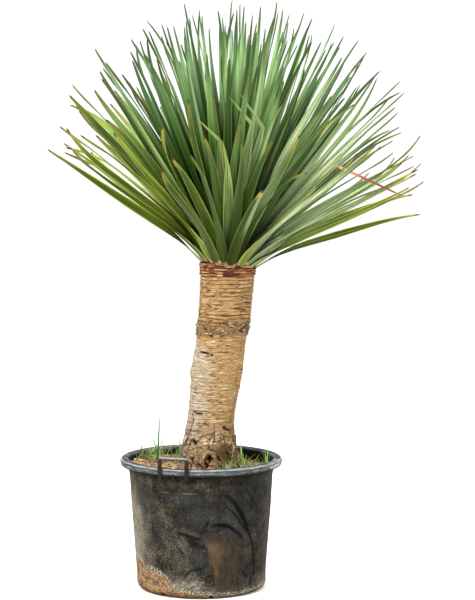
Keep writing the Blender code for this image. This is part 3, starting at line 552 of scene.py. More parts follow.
corner_radius = wall_radius(FOOT_CORNER) - FOOT_CORNER
reach = (FOOT_CORNER - WALL / 2) * math.sqrt(0.5)
drain_rods = bpy.data.collections.new("drain_rods")
for i in range(DRAIN_HOLES):
    bearing = math.radians(DRAIN_FIRST_BEARING + i * 360.0 / DRAIN_HOLES)
    outward = Vector((math.sin(bearing), -math.cos(bearing), 0.0))
    bpy.ops.mesh.primitive_cylinder_add(vertices=24, radius=DRAIN_RADIUS, depth=DRAIN_ROD_LENGTH)
    rod = bpy.context.object
    rod.location = outward * (corner_radius + reach) + Vector((0, 0, FOOT_CORNER - reach))
    rod.rotation_euler = (outward - Vector((0, 0, 1))).to_track_quat("Z", "Y").to_euler()
    drain_rods.objects.link(rod)
holes = tub.modifiers.new("drain_holes", "BOOLEAN")
holes.operation = "DIFFERENCE"
holes.operand_type = "COLLECTION"
holes.collection = drain_rods
holes.solver = "MANIFOLD"
bpy.context.view_layer.update()
drilled = bpy.data.meshes.new_from_object(tub.evaluated_get(bpy.context.evaluated_depsgraph_get()))
tub.modifiers.clear()
tub.data = drilled
for rod in list(drain_rods.objects):
    bpy.data.objects.remove(rod)
bpy.data.collections.remove(drain_rods)


def bell(value, middle, spread):
    """1 at the middle, falling off to 0 within about two spreads."""
    return np.exp(-((value - middle) / spread) ** 2)


def patch(bearing, height, middle, spread, fullness=1.0):
    """1 at the middle of an oval patch, falling off to 0 within about two spreads, later if it is fuller."""
    off = ((bearing - middle[0]) / spread[0]) ** 2 + ((height - middle[1]) / spread[1]) ** 2
    return np.exp(-off ** fullness)


def wear_and_painted_light_of(points):
    """What years outdoors left at each point of the tub, and its painted light and shade, by the names its
    finish reads.

    Dust is thick at the left edge, thinner at the right one, and lies in patches under the lip and at the
    foot; just below the lip it is thinned, as painted shade. Mud reaches up to its line, and brown water has
    run down between the stain's edges. Folds carry painted shade, and their shoulders and the sleek patches a
    painted sheen. The lip has a painted highlight along its ridge and a fainter one lower down, painted shade
    on its underside, and is chalky at both sides. The inside, above the soil, is dusty all over.
    """
    radius = np.hypot(points[:, 0], points[:, 1])
    bearing = np.degrees(np.arctan2(points[:, 0], -points[:, 1]))
    height = points[:, 2]
    down = TUB_HEIGHT - height
    outside = (radius > wall_radius(height) - WALL / 2 - DEEPEST_FOLD) & (radius < LIP_START)
    _, fold, sheen = fold_shape(bearing, height)

    ragged = bearing + 14 * mottle(points, 0.05, 23)
    fade = LEFT_DUST[1] + 11 * (1 - eased(height, 0.16, 0.34))
    left = eased(ragged, LEFT_DUST[0], LEFT_DUST[0] + 60) * (1 - eased(bearing, fade - 24, fade + 14))
    dust = 0.10 + 0.38 * rough(points, 0.07, 21) + 0.95 * left
    dust += 0.60 * left * eased(bearing, -150, -95) * (1 - eased(height, 0.20, 0.36))
    dust += 0.22 * window(bearing, 46, 78, 150, 190) + 0.56 * (1 - eased(height, 0.020, 0.095))
    dust += 0.32 * window(bearing, -75, -45, -12, 2) * (1 - eased(height, 0.14, 0.30))
    dust += 0.55 * window(bearing, -80, -66, -32, -12) * bell(height, 0.265, 0.060)
    dust += 0.35 * patch(bearing, height, (-10, 0.352), (22, 0.014))
    # The sleek patches have less dust, and a painted sheen.
    patch_sheen = np.zeros(len(points))
    for middle, spread in SLEEK:
        sleek = patch(bearing, height, middle, spread, 1.5)
        dust, patch_sheen = dust - 0.50 * sleek, np.maximum(patch_sheen, 0.48 * sleek)
    # Where the sheen is painted the dust value is raised too, which pales it; just below the lip it is
    # lowered, as painted shade.
    dust += 0.45 * sheen - 0.5 * ((height > DENTED_HEIGHTS[1]) & outside)

    mud = (np.interp(bearing, *zip(*MUD_LINE)) - height) / MUD_FADE
    stain_heights, starts, stops = zip(*STAIN_EDGES)
    waver = 2.6 * rough(points, 0.020, 22)
    stain = eased(bearing - np.interp(height, stain_heights, starts) + waver, -0.8, 2.4)
    stain *= 1 - 0.85 * eased(bearing - np.interp(height, stain_heights, stops), -22, 4)
    stain *= (0.85 - 0.35 * eased(height, 0.165, 0.200)) * window(height, 0.006, 0.030, 0.200, 0.222)
    stain += (stain > 0.05) * sum(strength * patch(bearing, height, *spot) for *spot, strength in RUST)
    scrape = np.zeros(len(points))
    for width, strength, route in SCRAPES:
        gap, _, share = by_route(bearing, height, route, WALL_TOP_RADIUS)
        worn = np.exp(-(gap / width) ** 2) * np.sin(math.pi * (0.1 + 0.8 * share)) ** 0.5
        scrape = np.maximum(scrape, strength * worn)

    rim = eased(radius, *LIP_RADII) * eased(height, *LIP_HEIGHTS) + 0.9 * eased(height, *LIP_RIDGE)
    # Painted light on the lip: a highlight along its ridge, a fainter one lower down, and shade on its
    # underside.
    lit = bell(down, 0.0030, 0.0022) + 0.55 * bell(down, 0.0125, 0.0026) - 1.1 * eased(down, 0.0165, 0.0205)
    chalk = np.maximum(0.75 * bell(bearing, 72, 20), 0.50 * bell(bearing, -88, 22)) * (down < 0.0165)
    on_wall = {"stain": stain, "crumple": patch(bearing, height, *CRUMPLE), "fold": fold,
               "sheen": np.maximum(sheen, patch_sheen), "scrape": scrape}
    return {"dust": np.where(outside, dust, 0.42 + 0.55 * rough(points, 0.04, 24)),
            "mud": np.where(outside, mud, NO_MUD), "rim": np.clip(rim, 0, 1), "lit": lit, "chalk": chalk,
            **{name: values * outside for name, values in on_wall.items()}}


def points_of(piece):
    """The piece's points, one a row."""
    points = np.empty(len(piece.data.vertices) * 3)
    piece.data.vertices.foreach_get("co", points)
    return points.reshape(-1, 3)


for name, values in wear_and_painted_light_of(points_of(tub)).items():
    mark(tub, name, values)
tub.data.shade_smooth()
tub.data.set_sharp_from_angle(angle=math.radians(SHARP_FROM))
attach(tub, "root")
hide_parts("pot")


# Handles: two loops moulded on the rim, each with square-shouldered legs and a thinner bar, and a small rib
# between the legs. They are of the tub's own plastic, greyed along their upper edges, with a painted
# highlight.

HANDLE_BEARINGS = (-18.6, 166.0)
HANDLE_WIDTH = 0.097
HANDLE_TOP = 0.441
HANDLE_FOOT = 0.374
HANDLE_LEG = 0.012
HANDLE_BAR = 0.0095
HANDLE_THICKNESS = 0.008
HANDLE_SETBACK = 0.0003
HANDLE_BEND = 0.0055        # radius of the middle line at a shoulder
# Heights over which a handle's upper edge takes the lip's greyed look and a painted highlight.
HANDLE_GREYED_AND_LIT = (0.4305, 0.4385)
RIB_WIDTH, RIB_DEPTH, RIB_REACH = 0.003, 0.003, 0.009       # half sizes
RIB_SINK = 0.0005
RIB_HEIGHT = 0.382


def squared_circle(count, power):
    """A unit outline between a circle and a square: a circle's coordinates, raised to a power under 1."""
    angle = np.linspace(0, 2 * math.pi, count, endpoint=False)
    c, s = np.cos(angle), np.sin(angle)
    return np.sign(c) * np.abs(c) ** power, np.sign(s) * np.abs(s) ** power


def handle_rings():
    """Rings of a squared section along the loop's middle line: up a leg, round a shoulder, and so over."""
    leg_x = HANDLE_WIDTH / 2 - HANDLE_LEG / 2
    bar_z = HANDLE_TOP - HANDLE_BAR / 2
    bend_x, bend_z = leg_x - HANDLE_BEND, bar_z - HANDLE_BEND
    up = [(leg_x, z) for z in np.linspace(HANDLE_FOOT, bend_z, 9)]
    shoulder = [(bend_x + HANDLE_BEND * math.cos(a), bend_z + HANDLE_BEND * math.sin(a))
                for a in np.radians(np.linspace(0, 90, 6))[1:]]
    half = np.array(up + shoulder + [(x, bar_z) for x in np.linspace(bend_x, 0, 8)[1:]])
    line = np.concatenate([half, half[-2::-1] * (-1, 1)])
    run = np.gradient(line, axis=0)
    run /= np.linalg.norm(run, axis=1)[:, None]
    aside = np.stack([run[:, 1], -run[:, 0]], 1)
    level = np.abs(run[:, 0])
    half_width = (HANDLE_LEG * (1 - level) + HANDLE_BAR * level) / 2
    from_foot = np.abs(line[:, 1] - HANDLE_FOOT)
    half_width = half_width * (0.62 + 0.38 * eased(from_foot, 0, 0.008))
    in_plane, through = squared_circle(16, 0.45)
    flat = line[:, None] + aside[:, None] * (half_width[:, None] * in_plane)[..., None]
    return flat, np.broadcast_to(through * HANDLE_THICKNESS / 2, flat.shape[:2])


def on_rim(bearing, sideways, height, outward):
    """Points of a handle or rib put on the rim at a bearing."""
    c, s = math.cos(math.radians(bearing)), math.sin(math.radians(bearing))
    radial = RIM_RADIUS + outward
    return np.stack([sideways * c + radial * s, sideways * s - radial * c, height], -1)


flat, through = handle_rings()
loops = np.stack([on_rim(b, flat[..., 0], flat[..., 1], HANDLE_SETBACK + through) for b in HANDLE_BEARINGS])
handles = tube_piece("tub_handles", loops, plastic)
aside, through = squared_circle(12, 0.4)
level = np.array([-1.0, -0.9, 0.9, 1.0])[:, None]
size = np.array([0.8, 1.0, 1.0, 0.8])[:, None]
ribs = np.stack([on_rim(b, RIB_WIDTH * size * aside, RIB_HEIGHT + RIB_REACH * level + 0 * aside,
                        RIB_DEPTH * size * through - RIB_SINK) for b in HANDLE_BEARINGS])
ribs = tube_piece("tub_ribs", ribs, plastic)
for piece in (handles, ribs):
    height = points_of(piece)[:, 2]
    # The upper edges take the lip's greyed look and its painted highlight.
    worn = eased(height, *HANDLE_GREYED_AND_LIT) * 0.95
    marks = {"dust": -0.4, "mud": NO_MUD, "rim": 0.02 + 0.95 * worn, "lit": 1.1 * worn - 0.2}
    for name, values in marks.items():
        mark(piece, name, np.broadcast_to(values, height.shape))
    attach(piece, "root")


# Soil: potting mix heaped higher on the left and against the trunk, filling the tub to a hand's width below
# the rim. It is drawn in from the wall below the top, where the wall's folds reach in.

SOIL_LEVEL = 0.368
LEFT_HEAP = (0.009, -0.05, 0.08)            # half its height, its edge's x, and how softly it ends
STEM_HEAP, BACK_FALL = (0.010, 0.13), (0.004, 0.12)         # height, and how far it reaches
SOIL_DIP = 0.011
SOIL_DIP_RADIUS = 0.110
TRUNK_BASE = 0.394
TRUNK_FOOT_X = 0.024
SOIL_LUMPS = ((0.0032, (61, 17, 0.0), (-29, 53)), (0.0022, (127, -71, 1.3), (43, 139)))
CRUMB_HEIGHT = 0.0022
SOIL_SIDE = ((0.350, 0.001), (0.338, 0.011), (0.04, 0.011), (0.006, 0.03))   # height, and the gap to the wall
SOIL_ROWS, SOIL_COLUMNS = 96, 300


def soil_height(x, y):
    """The solid's level: higher on the left, heaped to the trunk, falling to the back, and lumpy."""
    (left, end, soft), (heap, wide), (fall, long) = LEFT_HEAP, STEM_HEAP, BACK_FALL
    level = SOIL_LEVEL + left * (1.0 - np.tanh((x - end) / soft))
    from_stem = np.hypot(x - TRUNK_FOOT_X, y)
    level = level + heap * np.exp(-(from_stem / wide) ** 2) - fall * np.tanh(y / long)
    for height, (by_x, by_y, start), (across_x, across_y) in SOIL_LUMPS:
        level = level + height * np.sin(by_x * x + by_y * y + start) * np.sin(across_x * x + across_y * y)
    round_stem = TRUNK_BASE - SOIL_DIP + 0.4 * np.maximum(0.0, from_stem - SOIL_DIP_RADIUS)
    return np.minimum(level, round_stem)


def crumbly_height(x, y):
    """The soil's level with crumbs on it, by noise at several sizes."""
    spot = np.stack([x, y, 0 * x], -1)
    return soil_height(x, y) + CRUMB_HEIGHT * (rough(spot, 0.014, 31, 4) + 0.4 * mottle(spot, 0.045, 36))


def potting_mix():
    """Bark fines and clay: reddish brown, patchy, with painted shade in the hollows of its bump, and pale
    grains.
    """
    made = Finish("potting_mix", 0.95, Specular_IOR_Level=0.05)
    clouds, grains = made.noise(0.018, 6), made.noise(0.0044, 3)
    earth = clouds.step(0.32, 0.68).between((0.112, 0.062, 0.028), (0.405, 0.248, 0.122))
    earth = earth.under(grains.step(0.54, 0.66), (0.700, 0.535, 0.365))
    # Darker where the bump sinks: painted shade in the hollows.
    earth = earth.under(grains.step(0.42, 0.26), (0.040, 0.022, 0.014))
    made.bump(grains + clouds, 0.0022, 0.9)
    return made.coloured(earth)


turn = np.linspace(0, 2 * math.pi, SOIL_COLUMNS, endpoint=False)
top = turned(np.linspace(0.004, wall_radius(SOIL_LEVEL) - WALL - 0.0006, SOIL_ROWS)[:, None], 0.0, turn)
top[..., 2] = crumbly_height(top[..., 0], top[..., 1])
height, gap = np.transpose(SOIL_SIDE)[..., None]
rings = np.concatenate([top, turned(wall_radius(height) - WALL - gap, height, turn)])[None]
ends = np.array([[0.0, 0.0, soil_height(0.0, 0.0)]]), np.array([[0.0, 0.0, SOIL_SIDE[-1][0]]])
soil = tube_piece("soil_fill", rings, potting_mix(), *ends)
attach(soil, "root")
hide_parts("soil")


# Bark chips and clay crumbs: loose bits of the potting mix that lie on top of the soil. The flat ones lie
# down, and there are none against the trunk.

CHIP_COUNT = 1700
CHIP_SEED = 41
CHIPS_WITHIN, CHIPS_OFF_TRUNK = 0.212, 0.104
CHIP_SIZES = (0.0013, 0.0043)
LARGE_CHIPS, LARGER_BY = 0.07, 0.7                          # their share, and how much larger they are
CHIP_STRETCH = ((1.0, 2.2), (0.7, 1.0), (0.30, 0.75))       # spread of length, width and thickness
CHIP_LEVELS, CHIP_WIDTHS = (-0.62, 0.05, 0.66), (0.78, 1.0, 0.70)
CHIP_CORNERS = 6
CHIP_POLES = (-0.9, 0.9)
CHIP_UNEVEN = 0.22
CHIP_TILT = 0.45
CHIP_LIFT = 0.25            # of its size, by which a chip's middle is above the soil
CHIP_SHARP_FROM = 35.0      # degrees


def lying(tilt, heading, roll):
    """Matrices for many pieces at once: about themselves by roll, over by tilt, then to their heading."""
    def about(angle, axis):
        c, s, o, i = np.cos(angle), np.sin(angle), 0 * angle, 0 * angle + 1
        rows = {0: (i, o, o, o, c, -s, o, s, c), 2: (c, -s, o, s, c, o, o, o, i)}[axis]
        return np.stack(rows, -1).reshape(-1, 3, 3)
    return about(heading, 2) @ about(tilt, 0) @ about(roll, 2)


def mark_rings(piece, rings, **marks):
    """Keep numbers for the rings of a tube_piece; at an end they are as on the nearest ring."""
    for name, values in marks.items():
        full = np.broadcast_to(values, rings.shape[:3])
        mark(piece, name, np.concatenate([full.ravel(), full[:, 0].mean(1), full[:, -1].mean(1)]))


def chips_finish():
    """Each chip has its own tone between dark bark, red bark and pale clay, with a grain of its own."""
    made = Finish("bark_and_clay_chips", 0.9, Specular_IOR_Level=0.2)
    [tone] = made.attributes("tone")
    grain = made.noise(0.004)
    chip = tone.step(0.10, 0.30).between((0.070, 0.042, 0.020), (0.240, 0.130, 0.058))
    chip = chip.under(tone.step(0.40, 0.60), (0.410, 0.250, 0.120))
    chip = chip.under(tone.step(0.87, 0.95), (0.680, 0.550, 0.340))
    chip = chip.under(grain.step(0.5, 0.25) * 0.6, (0.05, 0.028, 0.018))
    made.bump(grain, 0.001, 0.8)
    return made.coloured(chip)


rng = np.random.default_rng(CHIP_SEED)
spread = np.sqrt(rng.uniform(0.0, 1.0, 3 * CHIP_COUNT)) * CHIPS_WITHIN
heading = rng.uniform(0, 2 * math.pi, 3 * CHIP_COUNT)
x, y = spread * np.cos(heading), spread * np.sin(heading)
clear = np.hypot(x - TRUNK_FOOT_X, y) > CHIPS_OFF_TRUNK
x, y = x[clear][:CHIP_COUNT], y[clear][:CHIP_COUNT]
size = rng.uniform(*CHIP_SIZES, CHIP_COUNT)
size *= 1 + (rng.uniform(0, 1, CHIP_COUNT) > 1 - LARGE_CHIPS) * LARGER_BY
stretch = np.stack([rng.uniform(*limits, CHIP_COUNT) for limits in CHIP_STRETCH], 1)
width, level = np.array([CHIP_WIDTHS, CHIP_LEVELS])[..., None]
stone = turned(width, level, np.linspace(0, 2 * math.pi, CHIP_CORNERS, endpoint=False))
stones = stone * (1 + rng.uniform(-CHIP_UNEVEN, CHIP_UNEVEN, (CHIP_COUNT, *stone.shape[:2], 1)))
turned_by = lying(rng.normal(0, CHIP_TILT, CHIP_COUNT), *rng.uniform(0, 6.28, (2, CHIP_COUNT)))
middle = np.stack([x, y, crumbly_height(x, y) + CHIP_LIFT * size], 1)


def placed(local):
    """The chips' own points, stretched, turned and put on the soil."""
    sized = local.reshape(CHIP_COUNT, -1, 3) * (stretch * size[:, None])[:, None]
    return (np.einsum("nij,nkj->nki", turned_by, sized) + middle[:, None]).reshape(local.shape)


ends = [placed(np.broadcast_to([0.0, 0.0, pole], (CHIP_COUNT, 3))) for pole in CHIP_POLES]
chips = tube_piece("bark_chips", placed(stones), chips_finish(), *ends)
mark_rings(chips, stones, tone=rng.uniform(0, 1, (CHIP_COUNT, 1, 1)))
chips.data.set_sharp_from_angle(angle=math.radians(CHIP_SHARP_FROM))
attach(chips, "root")


# Trunk: one leaning stem of fibrous corky bark. Each fallen leaf left a ring scar: a proud lip over a dark
# red-brown line. The foot flares into blocky flakes round a small rotted hollow, dark with moss on its right.

TRUNK_STATIONS = (          # height, middle's x, and width
    (0.394, 0.024, 0.197), (0.425, 0.024, 0.178), (0.464, 0.024, 0.157), (0.536, 0.031, 0.143),
    (0.600, 0.040, 0.149), (0.675, 0.049, 0.160), (0.760, 0.061, 0.152), (0.841, 0.072, 0.160),
    (0.930, 0.079, 0.162), (0.998, 0.083, 0.170),
)
TRUNK_TOP = 0.998
TRUNK_BURIED = 0.372
HEAD_X = 0.083              # the middle of the trunk's top, where the head sits
TRUNK_ROW = 0.0019
TRUNK_COLUMNS = 280
SCAR_PITCH = 0.0115
BAND = (0.783, 0.834)
COLLAR_FOOT = 0.968
GASHES = (                  # half width, depth, then the route as (turn in degrees, height)
    (0.0030, 0.0060, ((-139, 0.735), (-126, 0.734), (-106, 0.729))),
    (0.0022, 0.0020, ((-94, 0.739), (-68, 0.735))), (0.0024, 0.0030, ((-172, 0.664), (-161, 0.653))),
    (0.0030, 0.0040, ((-140, 0.552), (-128, 0.547), (-115, 0.547))),
    (0.0024, 0.0030, ((-104, 0.516), (-93, 0.511))), (0.0020, 0.0024, ((-72, 0.515), (-62, 0.513))),
    (0.0040, 0.0040, ((-56, 0.504), (-48, 0.500), (-39, 0.494))),
    (0.0018, 0.0014, ((-121, 0.605), (-102, 0.606))),
    (0.0020, 0.0034, ((-144, 0.547), (-138, 0.526), (-140, 0.506), (-148, 0.472), (-160, 0.440))),
    (0.0016, 0.0024, ((-81, 0.520), (-78, 0.495), (-76, 0.464))),
    (0.0018, 0.0026, ((-56, 0.482), (-50, 0.460))),
    (0.0018, 0.0022, ((-36, 0.655), (-25, 0.600), (-30, 0.538), (-34, 0.500))),
    (0.0022, 0.0030, ((-68, 0.870), (-40, 0.866))), (0.0045, 0.0040, ((-130, 0.464), (-121, 0.456))),
    (0.0018, 0.0018, ((-161, 0.903), (-117, 0.907))), (0.0022, 0.0022, ((-54, 0.905), (-36, 0.901))),
    (0.0022, 0.0024, ((-42, 0.889), (-22, 0.884))), (0.0030, 0.0036, ((30, 0.620), (62, 0.616))),
    (0.0026, 0.0030, ((120, 0.700), (150, 0.704))),
    (0.0020, 0.0030, ((95, 0.560), (100, 0.500), (92, 0.440))),
    (0.0024, 0.0030, ((160, 0.880), (190, 0.876))),
)
MEAN_RADIUS = 0.075         # of the stem, for the gashes' lengths round it
BLACK_GASH = 0.0042         # depth from which a gash is fully dark with painted shade
HOLLOW = ((-89.0, 0.412), (4.0, 0.009))         # middle and spread, as (turn in degrees, height)
MOSS = ((-54.0, 0.428), (22.0, 0.034))
BULGE_HEIGHT = 0.672        # a low swelling on the left


def station(height, column):
    """A station's value at a height, smoothed over 40 mm so that the stem has no kinks."""
    table = np.array(TRUNK_STATIONS)
    offsets = np.linspace(-0.020, 0.020, 9)
    return np.mean([np.interp(height + o, table[:, 0], table[:, column]) for o in offsets], 0)


def stem_radius(turn, height):
    """The stem's radius under its bark: the stations, and lobes that run out 90 mm above the soil."""
    above_foot = np.clip((height - TRUNK_BASE) / 0.09, 0, 1)
    lobes = np.cos(5 * turn + 0.7) + 0.6 * np.cos(3 * turn - 0.4) + 0.5 * np.cos(8 * turn + 2.0)
    return station(height, 2) / 2 + 0.0032 * lobes * (1 - above_foot) ** 1.5


def stem_point(turn, height, outward):
    """Points this far outside the stem's radius."""
    reach = stem_radius(turn, height) + outward
    return np.stack([station(height, 1) + reach * np.cos(turn), reach * np.sin(turn), height + 0 * turn], -1)


def crevice(spot, cell, seed, width):
    """1 along the winding lines where a mottle crosses zero, falling off beside them."""
    return np.exp(-(mottle(spot, cell, seed) / width) ** 2)


def scar_line(phase, width):
    """1 on each line, where the phase is whole, falling off beside it; and the phase since the line."""
    within = phase - np.floor(phase)
    return np.exp(-(np.minimum(within, 1 - within) / width) ** 2), within


def gash_depth(degrees, height):
    """The deepest gash at each point, in metres, and how much painted shade lies in it."""
    depth, dark = np.zeros(height.shape), np.zeros(height.shape)
    for width, deep, route in GASHES:
        near = np.exp(-(by_route(degrees, height, route, MEAN_RADIUS)[0] / width) ** 2)
        depth, dark = np.maximum(depth, deep * near), np.maximum(dark, near * min(1.0, deep / BLACK_GASH))
    return depth, dark


def bark_relief(turn, height):
    """How far the bark stands out, in metres, and its marks, by the names that its finish reads.

    Going up, each scar is a dark line, then a lip that stands out most just above the line and sinks back
    evenly to the next one. Fainter lines lie between them. All wave, and are broken where noise is low. Below
    about 0.5 m the bark breaks up into plates along winding crevices. The band and the collar are uneven. The
    bark is warmer to the right, except about half a metre up, and warmer above 0.7 m.
    """
    spot, degrees = stem_point(turn, height, 0.0), np.degrees(turn)
    flat = spot * (1, 1, 3.5)
    waves = ((0.0036, 0.080, 51), (0.0016, 0.024, 52), (0.0006, 0.009, 50))
    wave = sum(size * mottle(spot, cell, seed) for size, cell, seed in waves)
    upper, middle = eased(height, 0.80, 0.85), window(height, 0.43, 0.52, 0.80, 0.85)
    thick = 0.13 + 0.05 * mottle(flat, 0.04, 49)
    main, within = scar_line((height + wave) / SCAR_PITCH, thick)
    fine, _ = scar_line((height + 1.3 * wave + 0.0020 * mottle(flat, 0.05, 48)) / SCAR_PITCH + 0.52, thick)
    main = main * eased(mottle(flat, 0.042, 53), -0.85, 0.15) * (upper + 0.75 * middle)
    fine = fine * eased(mottle(flat, 0.034, 47), -0.35, 0.55) * (0.95 * upper + 0.60 * middle)
    lip = (1 - within) ** 1.4 * (1 - np.exp(-(within / 0.10) ** 2)) * (upper + 0.35 * middle)
    relief = 0.0022 * lip - 0.0020 * main - 0.0011 * fine + 0.0012 * rough(spot, 0.020, 61)

    foot = 1 - eased(height + 0.02 * mottle(spot, 0.04, 46), 0.455, 0.540)
    base = 1 - eased(height + 0.015 * mottle(spot, 0.03, 45), 0.420, 0.480)
    swirl = spot + 0.006 * np.stack([mottle(spot, 0.03, seed) for seed in (41, 42, 43)], -1)
    tall = crevice(swirl * (1, 1, 0.45), 0.017, 55, 0.13)
    wide = crevice(swirl * (0.8, 0.8, 2.2), 0.020, 56, 0.12)
    small = crevice(swirl, 0.0085, 57, 0.16)
    plates = rough(swirl * (1, 1, 0.8), 0.016, 58)
    relief += foot * (0.0022 * plates - 0.0026 * tall - 0.0022 * wide)
    relief += base * (0.0022 * plates - 0.0028 * small)

    band = window(height, BAND[0] - 0.006, BAND[0] + 0.010, BAND[1] - 0.010, BAND[1] + 0.006)
    collar = eased(height + 0.004 * mottle(spot, 0.02, 44), COLLAR_FOOT - 0.003, COLLAR_FOOT + 0.004)
    relief += band * (0.0010 + 0.0035 * rough(spot, 0.016, 63))
    relief += collar * (0.0025 * rough(flat, 0.030, 64) - 0.0010)
    gash, gash_dark = gash_depth(degrees, height)
    hollow = patch(degrees, height, *HOLLOW)
    bulge = eased(-np.cos(turn), 0.3, 0.95) * bell(height, BULGE_HEIGHT, 0.015)
    relief += 0.0040 * bulge - gash - 0.0150 * hollow

    # Painted shade in the gashes, the hollow and the foot's crevices, which also sink; the scar lines are
    # partly their own red-brown and partly painted shade under the lips. The plates are painted lighter.
    dark = 0.85 * main + 0.60 * fine + 1.25 * gash_dark + 1.5 * hollow + 0.22 * bell(height, 0.850, 0.020)
    dark += foot * (0.70 * tall + 0.55 * wide - 0.25 * plates) + 0.85 * base * small
    dark += 0.35 * band * crevice(swirl, 0.010, 59, 0.2)
    right = np.cos(turn + 0.45) + 0.30 * mottle(spot, 0.10, 65) - 0.40 * bell(height, 0.545, 0.100)
    warm = 0.95 * eased(right, -0.85, 0.60) + 0.75 * eased(height, 0.712, 0.800) - 0.25 * foot
    warm += 0.22 * rough(spot, 0.05, 66)
    return relief, {"dark": np.clip(dark, 0, 1.6), "warm": np.clip(warm, 0, 1), "band": band, "red": upper,
                    "collar": collar, "moss": patch(degrees, height, *MOSS), "low": 0.55 * foot + 0.45 * base,
                    "plate": foot * np.clip(plates, 0, 1)}


def bark_finish():
    """Cream to ochre cork with fine fibres round the stem, red-brown scar lines and cracks dark with painted
    shade.

    The foot is earthy with plates painted lighter as a highlight, and dark moss, the band crumbly, and the
    collar dark red-brown.
    """
    made = Finish("ringed_bark", 0.85, Specular_IOR_Level=0.05)
    dark, warm, band, collar = made.attributes("dark warm band collar")
    moss, low, red, plate = made.attributes("moss low red plate")
    fibres, coarse = made.noise((0.026, 0.026, 0.0032), 6), made.noise((0.050, 0.050, 0.0060))
    clouds, grains = made.noise(0.035, 7), made.noise(0.0045)
    dashes = made.noise((0.017, 0.017, 0.0042), 3, made.vector("ADD", made.place, (0.3, 0.7, 0.1)))
    cork = warm.stirred(clouds, 0.9).step(0.05, 1.0).between((0.335, 0.280, 0.204), (0.278, 0.168, 0.063))
    cork = cork.under(fibres.step(0.52, 0.30) * 0.90, (0.130, 0.070, 0.030))
    cork = cork.under(coarse.step(0.50, 0.30) * 0.45, (0.200, 0.125, 0.060))
    cork = cork.under(fibres.step(0.54, 0.66) * 0.75, (0.530, 0.430, 0.300))
    earth = grains.step(0.36, 0.64).between((0.085, 0.050, 0.024), (0.275, 0.180, 0.098))
    cork = cork.under(low * 0.60, earth)
    # A painted highlight on the foot's proud plates.
    cork = cork.under(plate.step(0.15, 0.60) * 0.80, (0.520, 0.395, 0.250))
    cork = cork.under(dashes.step(0.57, 0.64) * (band * -1.0 + 1.0) * 0.85, (0.070, 0.036, 0.014))
    crumbs = grains.step(0.40, 0.60).between((0.060, 0.034, 0.014), (0.255, 0.160, 0.072))
    cork = cork.under(band * 0.70, crumbs)
    mossy = moss.stirred(grains, 1.6).step(0.15, 0.80) * 0.88
    cork = cork.under(mossy, grains.between((0.012, 0.009, 0.003), (0.070, 0.052, 0.018)))
    # dark: the scar lines' red-brown, and the painted shade of the gashes, the hollow and the crevices.
    dark = dark.stirred(fibres, 0.85)
    cork = cork.under(dark.step(0.26, 0.66) * 0.88, red.between((0.105, 0.055, 0.024), (0.080, 0.024, 0.009)))
    cork = cork.under(dark.step(0.80, 1.20), (0.0075, 0.0045, 0.0025))
    torn = grains.step(0.42, 0.66).between((0.028, 0.009, 0.004), (0.150, 0.052, 0.018))
    cork = cork.under(collar * 0.95, torn)
    made.bump(fibres + grains + coarse * 0.8, 0.0024, 0.9)
    return made.coloured(cork)


heights = np.append(np.arange(TRUNK_BURIED, TRUNK_TOP, TRUNK_ROW), TRUNK_TOP)
turn, height = np.meshgrid(np.linspace(-math.pi, math.pi, TRUNK_COLUMNS, endpoint=False), heights)
relief, marks = bark_relief(turn, height)
rings = stem_point(turn, height, relief)[None]
ends = np.array([[TRUNK_FOOT_X, 0.0, TRUNK_BURIED]]), np.array([[HEAD_X, 0.0, TRUNK_TOP]])
trunk = tube_piece("trunk_bark", rings, bark_finish(), *ends)
mark_rings(trunk, rings, **marks)
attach(trunk, "root")
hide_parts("trunk")


# Torn leaf bases: what is left of old leaves that were pulled or cut off, as thin ragged strips of dry fibre
# that wrap the stem. The collar's are fresh and red-brown, the band's older, greyer and more curled.

STRIP_COUNTS = (230, 210, 170)              # on the collar, on the band, and strays on the bark
COLLAR_TIERS, TIER_SPREAD = (0.9715, 0.9800, 0.9885, 0.9970, 1.0035), 0.0011
BAND_FOOT, BAND_SPAN = 0.784, 0.049
STRAYS_FOOT, STRAYS_SPAN = 0.50, 0.45
STRIP_ANGLES = ((0.07, 0.20), (0.03, 0.11), (0.04, 0.08))   # for each kind: the least, and how much more
STRIP_WIDTHS = ((0.0030, 0.0032), (0.0024, 0.0040), (0.0016, 0.0020))
STRIP_STANDS = ((0.0010, 0.0032), (0.0012, 0.0045), (0.0006, 0.0016))
STRIP_RISES = (0.0006, 0.0036, 0.0014)      # spread for each kind
STRIP_CURLS = (0.0022, 0.0060, 0.0022)
STRIP_GREYS = (0.0, 1.0, 0.35)
STRIP_THICKNESS = 0.0010
STRIP_SEED = 71


def strips_finish():
    """Dry torn fibre: tone 0 is dark red-brown, 0.5 orange tan, 1 pale; grey mutes it to the band's brown."""
    made = Finish("torn_leaf_bases", 0.8, Specular_IOR_Level=0.15)
    tone, grey = made.attributes("tone grey")
    fibres = made.noise((0.010, 0.010, 0.0012))
    tone = tone.stirred(fibres, 0.8)
    fresh = tone.step(0.05, 0.50).between((0.025, 0.008, 0.004), (0.230, 0.080, 0.024))
    fresh = fresh.under(tone.step(0.60, 1.0), (0.400, 0.228, 0.118))
    old = tone.step(0.10, 0.60).between((0.040, 0.023, 0.011), (0.200, 0.128, 0.064))
    old = old.under(tone.step(0.68, 1.05), (0.460, 0.350, 0.220))
    made.bump(fibres, 0.0008, 0.8)
    return made.coloured(grey.between(fresh, old))


